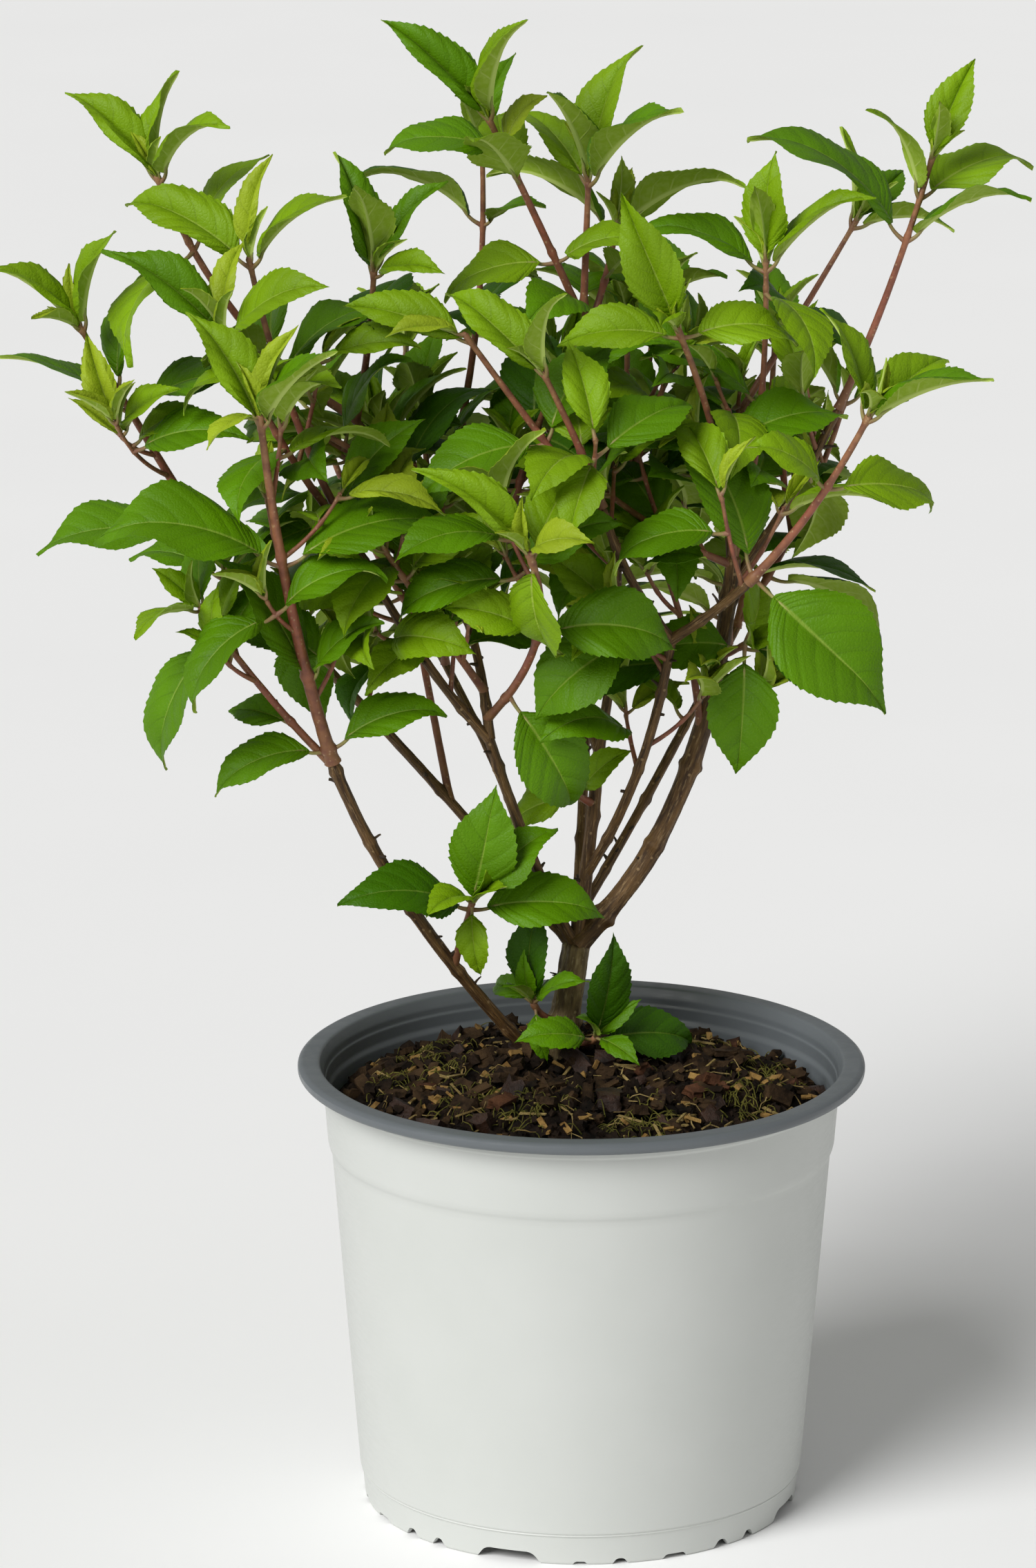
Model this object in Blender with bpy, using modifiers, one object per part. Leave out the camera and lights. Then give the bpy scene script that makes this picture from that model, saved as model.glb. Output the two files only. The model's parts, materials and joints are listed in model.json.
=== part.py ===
"""A young panicle hydrangea, in leaf and without blooms, in its five-litre nursery pot.

+X is right, +Y is back and +Z is up. The origin lies on the pot's axis, on the flat underside
of its middle foot. Every size in the tables is in millimetres and every angle in degrees.
"""

import math
import random

import bmesh
import bpy
from mathutils import Vector
from mathutils.bvhtree import BVHTree

for old in list(bpy.data.objects):
    bpy.data.objects.remove(old)

MM = 0.001
CLEAR = 0.3
UP = Vector((0, 0, 1))
# Points closer than this are welded after a cut, and faces that turn less than this are joined
WELD = 0.001 * MM
FLAT = math.radians(1)

# Pot: a thin moulded wall, a collar with a flat lip, and a notched foot
POT_STEPS = 48
POT_LIP_R = 115.0
POT_HEIGHT = 185.0
POT_WALL = 1.8
POT_FLOOR_TOP = 13.5
POT_FLOOR_UNDER = 11.5
MIDDLE_FOOT_R = 20.0
MIDDLE_FOOT_TOP = 2.0
FOOT_R = 88.4
WALL_FOOT_R = 89.5
# The wall steps out below the collar, and the collar flares into the lip
STEP_IN_R = 101.4
STEP_OUT_R = 102.3
STEP_FOOT = 147.4
STEP_TOP = 149.0
COLLAR_R = 104.4
COLLAR_TOP = 180.2
# The foot's notches repeat in each quarter: angle, width and height of each
NOTCHES = (
    (0, 4.0, 1.5), (10.5, 3.0, 2.5), (25.5, 8.0, 2.0),
    (40, 4.0, 3.5), (50, 3.0, 3.5), (71, 22.0, 4.5),
)

# Soil: a root ball that fills the pot, heaped a little round the stems
SOIL_TOP = 182.0
SOIL_EDGE = 168.0
SOIL_FLAT_R = 46.0

# The middle of the crown, which the leaves face away from
CROWN_MIDDLE = Vector((0.0, 0.07, 0.33))

# Leaves: widths and thicknesses as shares or sizes of one blade
LEAF_WIDTH = 0.58
LEAF_THICK = 0.9
LEAF_STATIONS = ((0.24, 0.93), (0.62, 0.82))
YOUNG_STATIONS = ((0.42, 1.0),)
PETIOLE_SHARE = 0.17
PETIOLE_WIDE = 1.4
YOUNG_LEAF = 26.0
BUD_LENGTH = 14.0
# A blade bends down by this much, and by this much more where it leans right out
LEAF_BEND = (22, 38)
LEAF_SIZE_SPREAD = 0.05
LEAF_TURN_SPREAD = 7.0
LEAF_LEAN_SPREAD = 5.0
# Where a leaf has no room it swings aside, tucks in or out, or stays smaller
SECOND_TRIES = (
    (0, 0, 1), (12, 0, 1), (-12, 0, 1), (0, -10, 1), (0, 12, 1),
    (24, 8, 0.9), (-24, 8, 0.9), (0, -24, 0.9), (0, 0, 0.75), (35, 15, 0.7), (-35, 15, 0.7),
)

# The trunk is this much thicker at its foot, over this share of its length
FLARE = 0.3
FLARE_REACH = 0.28

COLOURS = {
    "pot": (0.78, 0.80, 0.78),
    "soil": (0.06, 0.04, 0.03),
    "bark": (0.20, 0.15, 0.11),
    "leaf": (0.16, 0.34, 0.04),
}


def at(x, y, z):
    return Vector((x, y, z)) * MM


# The shrub's limbs. Each is one tapering limb on a curve from its foot by its elbow to its tip.
# A bough that springs from another has the other's name and the share along it.
LIMBS = {}


def limb(name, foot, elbow, tip, thick, parent=None, share=1.0):
    LIMBS[name] = dict(foot=foot, elbow=elbow, tip=tip, thick=thick, parent=parent, share=share)


limb("trunk", (-8, 30, 176), (-6, 31, 200), (-2, 32, 225), (11.8, 11.0))
limb("left_stem", (-20, 34, 176), (-79, 10, 247), (-99.6, -10, 311.6), (4.9, 4.7))
limb("left_middle_bough", None, (-20, 22, 256), (-38, 10, 318.4), (4.8, 4.2), "trunk", 0.96)
limb("far_left_bough", None, (-56, 62, 283), (-145.6, 50, 379.3), (4.4, 3.6), "trunk", 0.93)
limb("upper_left_bough", None, (-67, 12, 347), (-92.3, 10, 399.7), (3.6, 3.2), "left_middle_bough", 0.98)
limb("high_left_bough", None, (-42, 34, 383), (-93.5, 46, 441.4), (3.7, 3.2), "left_middle_bough", 0.98)
limb("centre_bough", None, (4, 38, 265), (7, 45, 305), (6.0, 4.6), "trunk", 0.98)
limb("back_centre_bough", None, (-26, 82, 366), (-50, 100, 425.6), (3.7, 3.0), "centre_bough", 0.97)
limb("top_centre_bough", None, (24, 60, 388), (0, 58, 479), (4.2, 3.4), "centre_bough", 0.97)
limb("front_bough", None, (28, 18, 299), (36, 5, 360.8), (3.8, 3.9), "centre_bough", 0.35)
limb("front_left_bough", None, (16, -4, 385), (8, -9, 415.8), (3.6, 3.4), "front_bough", 0.98)
limb("front_right_bough", None, (52, -4, 371), (65.6, -15, 386.6), (3.9, 3.7), "front_bough", 0.98)
limb("right_bough", None, (53, 48, 273), (61, 42, 385), (6.4, 4.6), "trunk", 0.97)
limb("high_right_bough", None, (85.5, 52, 404), (103, 55, 442.4), (3.8, 3.4), "right_bough", 0.94)
limb("back_right_bough", None, (57, 66, 411), (62.6, 78, 434), (3.4, 3.0), "right_bough", 0.97)
limb("back_bough", None, (0, 78, 262), (4, 132, 345), (4.4, 3.6), "trunk", 0.94)
limb("back_left_bough", None, (-18, 75, 258), (-62, 118, 330), (4.0, 3.3), "far_left_bough", 0.16)
limb("far_right_bough", None, (22, 78, 262), (66, 124, 338), (4.0, 3.3), "back_bough", 0.12)

# The masses of foliage. Each is one shoot from a bough, with leaf pairs up its length. A pair has
# its share of the shoot's length, its turn round the shoot from the right, and the lean and length
# of its right and its left leaf. A shoot with no pairs of its own has them by the rule in regular.
SHOOTS = {}


def regular(first, last, count, turn, leaf=(52, 42), lean=(68, 40)):
    """Leaf pairs at even steps, each a quarter turn round from the last, shorter and steeper upwards."""
    pairs = []
    for node in range(count):
        height = node / (count - 1)
        angle = lean[0] + (lean[1] - lean[0]) * height
        length = leaf[0] + (leaf[1] - leaf[0]) * height
        share = first + (last - first) * height
        pairs.append((share, turn + 90 * node, (angle, length), (angle, length)))
    pairs.append((0.99, turn + 90 * count, (20, leaf[1] * 0.6), (20, leaf[1] * 0.6)))
    return pairs


def shoot(name, parent, share, elbow, tip, pairs, thick=(3.4, 2.2)):
    SHOOTS[name] = dict(
        parent=parent, share=share, foot=None, elbow=elbow, tip=tip, pairs=pairs, thick=thick
    )


shoot("leaves_left_front", "left_stem", 1.0, (-118, -28, 376), (-126, -45, 461.5), [
    (0.04, 10, (66, 44), (68, 42)), (0.26, -20, (38, 36), (8, 54)), (0.60, 8, (62, 62), (46, 66)),
    (0.96, -35, (34, 50), (24, 46)), (0.99, 50, (16, 36), (75, 26)),
], (5.6, 2.7))
shoot("leaves_left_low", "left_stem", 0.98, (-126, -14, 338), (-152, -22, 379), [
    (0.30, -40, None, (42, 28)), (0.84, 20, (45, 36), (96, 52)), (0.97, 60, (40, 34), (45, 34)),
])
shoot("leaves_far_left", "far_left_bough", 1.0, (-162, 38, 409.5), (-200.4, 20, 483), [
    (0.14, 10, (62, 42), (44, 62)), (0.72, 4, (80, 52), (20, 54)), (0.80, 50, (40, 42), None),
    (0.98, 5, (30, 40), (8, 42)), (0.99, 90, (12, 26), (14, 24)),
], (4.2, 2.2))
shoot("leaves_high_left", "high_left_bough", 1.0, (-142, 40, 470.4), (-169.8, 30, 542.7), [
    (0.34, 70, (60, 46), (60, 44)), (0.76, 25, (48, 44), (72, 56)), (0.97, -35, (44, 46), (14, 46)),
    (0.99, 50, (14, 42), (10, 38)),
], (3.6, 2.4))
shoot("leaves_left_inner", "high_left_bough", 0.98, (-86, 36, 462), (-83, 24, 506), [
    (0.55, 90, (50, 42), (26, 36)), (0.95, -40, (52, 32), (20, 44)), (0.98, 45, (18, 46), (16, 44)),
])
shoot("leaves_left_tip", "upper_left_bough", 1.0, (-116.5, 0, 428), (-142, -15, 489), [
    (0.12, 10, (62, 46), (72, 46)), (0.52, 70, (60, 44), (62, 42)), (0.95, -30, (56, 46), (20, 52)),
    (0.99, 60, (40, 32), (12, 26)),
])
shoot("leaves_left_bud", "upper_left_bough", 0.96, (-119, 10, 446), (-132, 2, 515), [
    (0.30, 80, (60, 46), (60, 44)), (0.62, 10, (66, 46), (62, 40)), (0.96, -25, (46, 46), (38, 56)),
    (0.99, 70, (6, 42), (7, 36)),
])
shoot("leaves_left_middle", "high_left_bough", 0.14, (-56, 0, 362), (-79.6, -15, 401.5), [
    (0.42, 40, (55, 40), (60, 34)), (0.80, 0, (62, 42), (60, 46)), (0.97, 60, (40, 38), (35, 32)),
])
shoot("leaves_front", "high_left_bough", 0.06, (-6, -24, 366), (-21.6, -45, 406.5), [
    (0.15, -50, (102, 54), None), (0.52, 0, (62, 52), (60, 34)), (0.94, 55, (60, 42), (150, 44)),
    (0.98, -30, (50, 32), (28, 52)),
], (3.6, 2.8))
shoot("leaves_centre", "front_left_bough", 1.0, (0, -12, 440), (-15.9, -20, 473), [
    (0.40, 80, (50, 40), (60, 38)), (0.96, -40, (20, 42), (34, 46)),
])
shoot("leaves_centre_left", "front_left_bough", 0.90, (-16, 4, 440), (-47, -12, 487), [
    (0.45, 20, (55, 42), (60, 46)), (0.95, -40, (30, 44), (22, 50)), (0.99, 45, (22, 36), (30, 30)),
])
shoot("leaves_right_front", "front_right_bough", 1.0, (93, -25, 417), (112.6, -35, 460), [
    (0.04, -38, (70, 68), (58, 62)), (0.60, 20, (60, 44), (60, 36)), (0.95, -30, (26, 48), (34, 42)),
    (0.98, 55, (45, 42), (40, 28)),
], (3.8, 2.4))
shoot("leaves_centre_low", "right_bough", 0.98, (36, 30, 392), (9, 15, 417), [
    (0.50, 80, (60, 38), (60, 42)), (0.96, -30, (30, 38), (60, 32)),
])
shoot("leaves_right_centre", "right_bough", 1.0, (57, 26, 436), (37, 5, 486), [
    (0.45, 10, (66, 46), (60, 56)), (0.95, 5, (92, 46), (52, 42)), (0.98, 100, (10, 54), (30, 30)),
], (3.4, 2.4))
shoot("leaves_right_upright", "right_bough", 0.99, (75, 48, 432), (73, 45, 506), [
    (0.28, 80, (60, 42), (60, 42)), (0.56, 0, (62, 46), (48, 46)), (0.90, -60, (96, 44), None),
    (0.96, -15, (38, 50), (52, 48)), (0.99, 75, (5, 38), (5, 34)),
], (3.2, 2.0))
shoot("leaves_back_slant", "back_right_bough", 1.0, (85, 92, 467), (112, 100, 512.6), [
    (0.45, 60, (55, 44), (60, 42)), (0.95, -20, (40, 38), (30, 36)), (0.98, 70, (30, 34), (30, 30)),
], (3.2, 2.0))
shoot("leaves_high_right", "high_right_bough", 1.0, (124.3, 53, 489.7), (139.5, 50, 547), [
    (0.68, -15, (28, 50), (58, 68)), (0.84, 25, (38, 48), (24, 42)), (0.98, 75, (6, 38), (22, 28)),
])
shoot("leaves_top", "top_centre_bough", 1.0, (1, 54, 505), (2, 50, 537), [
    (0.10, 70, (60, 40), (62, 42)), (0.95, -45, (40, 56), (44, 44)), (0.99, 50, (8, 50), (24, 46)),
])
shoot("leaves_top_left", "top_centre_bough", 0.98, (-14, 48, 512), (-38, 28, 566), [
    (0.35, 10, (62, 38), (58, 42)), (0.72, 90, (45, 36), (16, 42)), (0.86, 20, (50, 26), (42, 42)),
    (0.98, -25, (28, 48), (20, 50)),
], (3.4, 2.4))
shoot("leaves_top_right", "top_centre_bough", 0.96, (10, 66, 494), (13.4, 76, 513), [
    (0.50, 90, (60, 38), (60, 34)), (0.95, -15, (46, 54), (52, 54)), (0.99, 75, (5, 27), (5, 25)),
])
shoot("leaves_back_top", "back_centre_bough", 1.0, (-38.4, 102, 485), (-41.4, 95, 545), [
    (0.34, 80, (55, 46), (55, 46)), (0.70, -10, (36, 42), (52, 56)), (0.97, 60, (30, 38), (26, 32)),
], (3.2, 2.0))
shoot("leaves_hanging", "right_bough", 0.8, (60, 36, 345), (66, 26, 352), [
    (0.80, 0, (68, 44), (80, 38)), (0.96, 90, (72, 36), (84, 48)),
])
shoot("leaves_low_front", "left_stem", 0.3, (-48, 14, 234), (-44, 4, 250), [
    (0.86, 0, (60, 48), (60, 54)), (0.95, 90, (20, 46), (112, 25)), (1.0, 45, (28, 38), (42, 28)),
])
shoot("leaves_soil_left", "trunk", 0.3, (-17, 24, 194), (-20, 20, 203), [
    (0.85, 60, (18, 38), (100, 24)), (0.96, -20, (50, 27), (66, 29)),
])
shoot("leaves_soil_front", "trunk", 0.2, (0, 18, 184), (6, 10, 189), [
    (0.85, 10, (60, 40), (66, 32)), (0.97, 120, (8, 44), (75, 26)),
])
shoot("leaves_fork", "centre_bough", 0.7, (0, 36, 284), (-3, 32, 288), [
    (0.80, 10, (62, 27), (72, 31)),
])
shoot("leaves_inner_left", "far_left_bough", 0.42, (-66, 74, 335), (-82, 58, 432),
      regular(0.45, 0.95, 3, 20))
shoot("leaves_inner_middle", "high_left_bough", 0.55, (-74, 34, 424), (-108, 24, 440),
      regular(0.4, 0.95, 2, 30))
shoot("leaves_inner_centre", "back_centre_bough", 0.62, (-28, 68, 412), (-8, 44, 462),
      regular(0.35, 0.95, 3, 10))
shoot("leaves_inner_right", "top_centre_bough", 0.56, (22, 56, 420), (34, 46, 458),
      regular(0.4, 0.95, 2, 20))
shoot("leaves_inner_low", "right_bough", 0.62, (46, 34, 348), (30, 22, 392),
      regular(0.4, 0.95, 2, 10))
shoot("leaves_back_a", "back_bough", 1.0, (0, 156, 400), (-12, 168, 440),
      regular(0.15, 0.95, 3, 0))
shoot("leaves_back_b", "back_bough", 0.98, (26, 150, 410), (30, 148, 466),
      regular(0.3, 0.95, 3, 90))
shoot("leaves_back_c", "back_bough", 0.94, (20, 118, 395), (18, 112, 470),
      regular(0.3, 0.95, 3, 0))
shoot("leaves_back_left_a", "back_left_bough", 1.0, (-96, 136, 372), (-112, 140, 428),
      regular(0.2, 0.95, 3, 0))
shoot("leaves_back_left_b", "back_left_bough", 0.98, (-72, 146, 384), (-74, 156, 450),
      regular(0.25, 0.95, 3, 90))
shoot("leaves_back_left_c", "back_left_bough", 0.94, (-62, 104, 384), (-66, 96, 432),
      regular(0.3, 0.95, 2, 0))
shoot("leaves_back_right_a", "far_right_bough", 1.0, (96, 140, 380), (110, 146, 430),
      regular(0.2, 0.95, 3, 0))
shoot("leaves_back_right_b", "far_right_bough", 0.98, (78, 146, 392), (80, 154, 456),
      regular(0.25, 0.95, 3, 90))
shoot("leaves_back_right_c", "far_right_bough", 0.94, (62, 112, 372), (58, 108, 420),
      regular(0.3, 0.95, 2, 0))


def bezier(limb_row, share):
    """The point on a limb's curve at this share of it, in metres."""
    foot, elbow, tip = (limb_row[key] for key in ("foot", "elbow", "tip"))
    return foot * (1 - share) ** 2 + elbow * 2 * share * (1 - share) + tip * share ** 2


def set_on_parents():
    """Turns the tables' sizes into points, and sets each limb's foot on its parent's axis."""
    for row in list(LIMBS.values()) + list(SHOOTS.values()):
        row["elbow"] = at(*row["elbow"])
        row["tip"] = at(*row["tip"])
        row["foot"] = at(*row["foot"]) if row["foot"] else bezier(LIMBS[row["parent"]], row["share"])


def direction(row, share):
    step = 0.02
    return (bezier(row, min(share + step, 1)) - bezier(row, max(share - step, 0))).normalized()


def radius(row, share):
    """Half the limb's thickness in metres."""
    first, last = row["thick"]
    return (first + (last - first) * share) / 2 * MM


def tube(name, points, radii, resolution):
    """A closed tube through the points, made as a bevelled curve and then as a mesh."""
    data = bpy.data.curves.new(name, "CURVE")
    data.dimensions = "3D"
    data.bevel_depth = 1.0
    data.bevel_resolution = resolution
    data.use_fill_caps = True
    line = data.splines.new("POLY")
    line.points.add(len(points) - 1)
    for spot, point, size in zip(line.points, points, radii):
        spot.co = (*point, 1)
        spot.radius = size
    curve = bpy.data.objects.new(name + "_curve", data)
    bpy.context.scene.collection.objects.link(curve)
    bpy.context.view_layer.update()
    evaluated = curve.evaluated_get(bpy.context.evaluated_depsgraph_get())
    mesh = bpy.data.meshes.new_from_object(evaluated)
    work = bmesh.new()
    work.from_mesh(mesh)
    bmesh.ops.remove_doubles(work, verts=work.verts, dist=0.01 * MM)
    bmesh.ops.triangulate(work, faces=work.faces)
    bmesh.ops.recalc_face_normals(work, faces=work.faces)
    work.to_mesh(mesh)
    work.free()
    mesh.name = name
    tubed = bpy.data.objects.new(name, mesh)
    tubed.matrix_world = curve.matrix_world
    bpy.data.objects.remove(curve)
    bpy.data.curves.remove(data)
    return tubed


def limb_solid(name, row, steps, resolution, more=0.0):
    """A limb as a tapering tube, its radius and both its ends larger by more millimetres."""
    shares = [step / steps for step in range(steps + 1)]
    points = [bezier(row, share) for share in shares]
    radii = [radius(row, share) + more * MM for share in shares]
    if name == "trunk":
        reach = (points[-1] - points[0]).length * FLARE_REACH
        flares = [math.exp(-(point - points[0]).length / reach) for point in points]
        radii = [size * (1 + FLARE * flare) for size, flare in zip(radii, flares)]
    points[0] -= direction(row, 0) * more * MM
    points[-1] += direction(row, 1) * more * MM
    return tube(name if more == 0 else name + "_sleeve", points, radii, resolution)


class Tree:
    """A search tree of a closed shape, with the box that holds it."""

    def __init__(self, points, faces):
        self.tree = BVHTree.FromPolygons(points, faces)
        self.low = [min(point[axis] for point in points) for axis in range(3)]
        self.high = [max(point[axis] for point in points) for axis in range(3)]

    def touches(self, other):
        for axis in range(3):
            if self.low[axis] > other.high[axis] or other.low[axis] > self.high[axis]:
                return False
        return bool(self.tree.overlap(other.tree))


def tree_of(shape, mesh=None):
    """The search tree of a mesh object that stands at the origin."""
    mesh = mesh or shape.data
    return Tree([tuple(v.co) for v in mesh.vertices], [tuple(p.vertices) for p in mesh.polygons])


def turned_tree(shape):
    """The search tree of a turned shape, as its modifier leaves it."""
    return tree_of(shape, shape.evaluated_get(bpy.context.evaluated_depsgraph_get()).to_mesh())


def boolean(shape, operation, other=None, group=None, solver="EXACT"):
    """Applies a Boolean modifier that takes one object or all of a collection."""
    modifier = shape.modifiers.new(operation, "BOOLEAN")
    modifier.operation = operation
    modifier.solver = solver
    if group:
        modifier.operand_type = "COLLECTION"
        modifier.collection = group
    else:
        modifier.object = other
    bpy.context.view_layer.update()
    evaluated = shape.evaluated_get(bpy.context.evaluated_depsgraph_get())
    mesh = bpy.data.meshes.new_from_object(evaluated)
    shape.modifiers.clear()
    old = shape.data
    shape.data = mesh
    bpy.data.meshes.remove(old)
    mesh.name = shape.name


def is_closed(work):
    return all(len(edge.link_faces) == 2 for edge in work.edges)


def keep_largest(shape):
    """Drops any loose scrap that a cut left, and welds and triangulates what stays."""
    for flatten in (True, False):
        work = bmesh.new()
        work.from_mesh(shape.data)
        bmesh.ops.remove_doubles(work, verts=work.verts, dist=WELD)
        if flatten:
            bmesh.ops.dissolve_limit(work, angle_limit=FLAT, verts=work.verts, edges=work.edges)
        bmesh.ops.triangulate(work, faces=work.faces)
        if is_closed(work):
            break
    left = set(work.verts)
    islands = []
    while left:
        island = [left.pop()]
        for vert in island:
            for edge in vert.link_edges:
                other = edge.other_vert(vert)
                if other in left:
                    left.remove(other)
                    island.append(other)
        islands.append(island)
    islands.sort(key=len)
    for island in islands[:-1]:
        bmesh.ops.delete(work, geom=island, context="VERTS")
    work.to_mesh(shape.data)
    work.free()


def cut_level(shape, height):
    """Cuts off what lies below this height, leaving a flat closed face."""
    work = bmesh.new()
    work.from_mesh(shape.data)
    geometry = work.verts[:] + work.edges[:] + work.faces[:]
    cut = bmesh.ops.bisect_plane(
        work, geom=geometry, plane_co=(0, 0, height), plane_no=(0, 0, -1), clear_outer=True
    )
    edges = [piece for piece in cut["geom_cut"] if isinstance(piece, bmesh.types.BMEdge)]
    bmesh.ops.edgeloop_fill(work, edges=edges)
    bmesh.ops.triangulate(work, faces=work.faces)
    bmesh.ops.recalc_face_normals(work, faces=work.faces)
    work.to_mesh(shape.data)
    work.free()


def colour(shape, name, roughness):
    material = bpy.data.materials.get(name)
    if not material:
        material = bpy.data.materials.new(name)
        material.use_nodes = True
        shader = material.node_tree.nodes["Principled BSDF"]
        shader.inputs["Base Color"].default_value = (*COLOURS[name], 1)
        shader.inputs["Roughness"].default_value = roughness
        shader.inputs["Metallic"].default_value = 0.0
    shape.data.materials.clear()
    shape.data.materials.append(material)


def turned(name, profile, steps):
    """A profile of radii and heights, from the axis out and back to it, turned round the axis."""
    mesh = bpy.data.meshes.new(name)
    points = [(r * MM, 0, z * MM) for r, z in profile]
    mesh.from_pydata(points, [(i, i + 1) for i in range(len(points) - 1)], [])
    shape = bpy.data.objects.new(name, mesh)
    PARTS.objects.link(shape)
    screw = shape.modifiers.new("turn", "SCREW")
    screw.axis = "Z"
    screw.angle = math.tau
    screw.steps = steps
    screw.render_steps = steps
    screw.use_merge_vertices = True
    screw.merge_threshold = 0.00005
    return shape


def make_pot():
    """The pot, turned in one piece."""
    inside = [
        (0, MIDDLE_FOOT_TOP), (MIDDLE_FOOT_R - 1.5, MIDDLE_FOOT_TOP),
        (MIDDLE_FOOT_R + 2.5, POT_FLOOR_TOP), (WALL_FOOT_R + 0.1 - POT_WALL, POT_FLOOR_TOP),
        (STEP_IN_R - POT_WALL, STEP_FOOT), (STEP_OUT_R - POT_WALL, STEP_TOP),
        (COLLAR_R - 2.5, 171), (COLLAR_R - 1.5, 173), (COLLAR_R - 1.1, 180),
    ]
    lip = [
        (COLLAR_R + 2, POT_HEIGHT), (POT_LIP_R - 1.4, POT_HEIGHT), (POT_LIP_R, POT_HEIGHT - 1.4),
        (POT_LIP_R, COLLAR_TOP + 0.8), (POT_LIP_R - 1.2, COLLAR_TOP), (COLLAR_R, COLLAR_TOP),
    ]
    outside = [
        (STEP_OUT_R, STEP_TOP), (STEP_IN_R, STEP_FOOT), (WALL_FOOT_R, POT_FLOOR_UNDER + 0.7),
        (FOOT_R, 0), (FOOT_R - 2.2, 0), (WALL_FOOT_R - 2.1, POT_FLOOR_UNDER),
        (MIDDLE_FOOT_R + 4, POT_FLOOR_UNDER), (MIDDLE_FOOT_R, 0), (0, 0),
    ]
    profile = inside + lip + outside
    pot = turned("pot", profile, POT_STEPS)
    colour(pot, "pot", 0.45)
    return pot


def cut_notches(pot):
    """The notches through the foot, where water drains out below the wall."""
    for quarter in range(4):
        for angle, width, height in NOTCHES:
            turn = math.radians(quarter * 90 + angle - 90)
            bpy.ops.mesh.primitive_cube_add(size=1)
            cutter = bpy.context.object
            cutter.name = f"notch_{quarter}_{angle}"
            cutter.dimensions = (8 * MM, width * MM, (height + 2) * MM)
            middle = Vector((math.cos(turn), math.sin(turn), 0)) * FOOT_R * MM
            cutter.location = (middle.x, middle.y, (height - 2) / 2 * MM)
            cutter.rotation_euler = (0, 0, turn)
            cutter.hide_render = True
            cutter.display_type = "WIRE"
            for home in cutter.users_collection:
                home.objects.unlink(cutter)
            CUTTERS.objects.link(cutter)
    notches = pot.modifiers.new("notches", "BOOLEAN")
    notches.operation = "DIFFERENCE"
    notches.operand_type = "COLLECTION"
    notches.collection = CUTTERS
    notches.solver = "EXACT"


def make_soil():
    """The root ball, which follows the pot's inside with a small gap."""
    top = [(0, SOIL_TOP), (SOIL_FLAT_R, SOIL_TOP), (64, 180.0), (84, 174.5), (101.3, SOIL_EDGE)]
    gap = POT_WALL + CLEAR + 0.1
    bottom = POT_FLOOR_TOP + CLEAR
    sides = [
        (STEP_OUT_R - gap, STEP_TOP), (STEP_IN_R - gap, STEP_FOOT), (WALL_FOOT_R - gap, bottom),
        (MIDDLE_FOOT_R + 2.2, bottom), (MIDDLE_FOOT_R - 1.8, MIDDLE_FOOT_TOP + CLEAR),
        (0, MIDDLE_FOOT_TOP + CLEAR),
    ]
    soil = turned("soil", top + sides, POT_STEPS)
    colour(soil, "soil", 0.95)
    return soil


def make_limbs():
    """The trunk and boughs. Each is cut clear of the ones made before it, where it springs from them."""
    sleeves = {}
    for name, row in LIMBS.items():
        steps = 10 if (row["tip"] - row["foot"]).length > 60 * MM else 7
        shape = limb_solid(name, row, steps, 2 if name == "trunk" else 1)
        PARTS.objects.link(shape)
        if row["parent"] is None:
            cut_level(shape, (SOIL_TOP + CLEAR) * MM)
        for other, (sleeve, tree) in sleeves.items():
            if tree_of(shape).touches(tree):
                boolean(shape, "DIFFERENCE", sleeve)
                keep_largest(shape)
        sleeve = limb_solid(name, row, steps, 2 if name == "trunk" else 1, CLEAR)
        WORK.objects.link(sleeve)
        sleeves[name] = (sleeve, tree_of(sleeve))
        colour(shape, "bark", 0.8)
    return sleeves


def leaf_frame(row, share, turn, lean, length, chance):
    """One leaf's root, petiole direction, upper side and lengths."""
    axis = direction(row, share)
    right = (Vector((1, 0, 0)) - axis * axis.x).normalized()
    back = axis.cross(right)
    turn = math.radians(turn)
    lean = math.radians(lean)
    out = right * math.cos(turn) + back * math.sin(turn)
    along = axis * math.cos(lean) + out * math.sin(lean)
    upper = axis * math.sin(lean) - out * math.cos(lean)
    # The petiole twists, so that the blade's upper side turns to the light, up and out of the crown
    root = bezier(row, share)
    outward = Vector((root.x - CROWN_MIDDLE.x, root.y - CROWN_MIDDLE.y, 0)).normalized()
    turning = 0.65 * min(1.0, 1.6 * math.sin(lean) ** 2)
    upper = upper * (1 - turning) + (UP * 0.7 + outward * 0.7) * turning
    upper = (upper - along * upper.dot(along)).normalized()
    bend = math.radians(LEAF_BEND[0] + LEAF_BEND[1] * math.sin(lean) + chance.uniform(-8, 14))
    petiole = length * PETIOLE_SHARE * (0.7 + 0.5 * math.sin(lean))
    width = length * LEAF_WIDTH * chance.uniform(0.93, 1.07)
    return dict(
        root=root, along=along, upper=upper, length=length * MM, width=width * MM,
        petiole=petiole * MM + radius(row, share), bend=bend,
    )


def on_blade(leaf, share):
    """The middle line's point on a blade at this share of its length, and its upper side there."""
    angle = leaf["bend"] * share
    reach = leaf["length"] * share
    base = leaf["root"] + leaf["along"] * leaf["petiole"]
    ahead = math.sin(angle) / angle if angle > 1e-4 else 1.0
    aside = (1 - math.cos(angle)) / angle if angle > 1e-4 else 0.0
    point = base + leaf["along"] * reach * ahead - leaf["upper"] * reach * aside
    return point, leaf["upper"] * math.cos(angle) + leaf["along"] * math.sin(angle)


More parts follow.
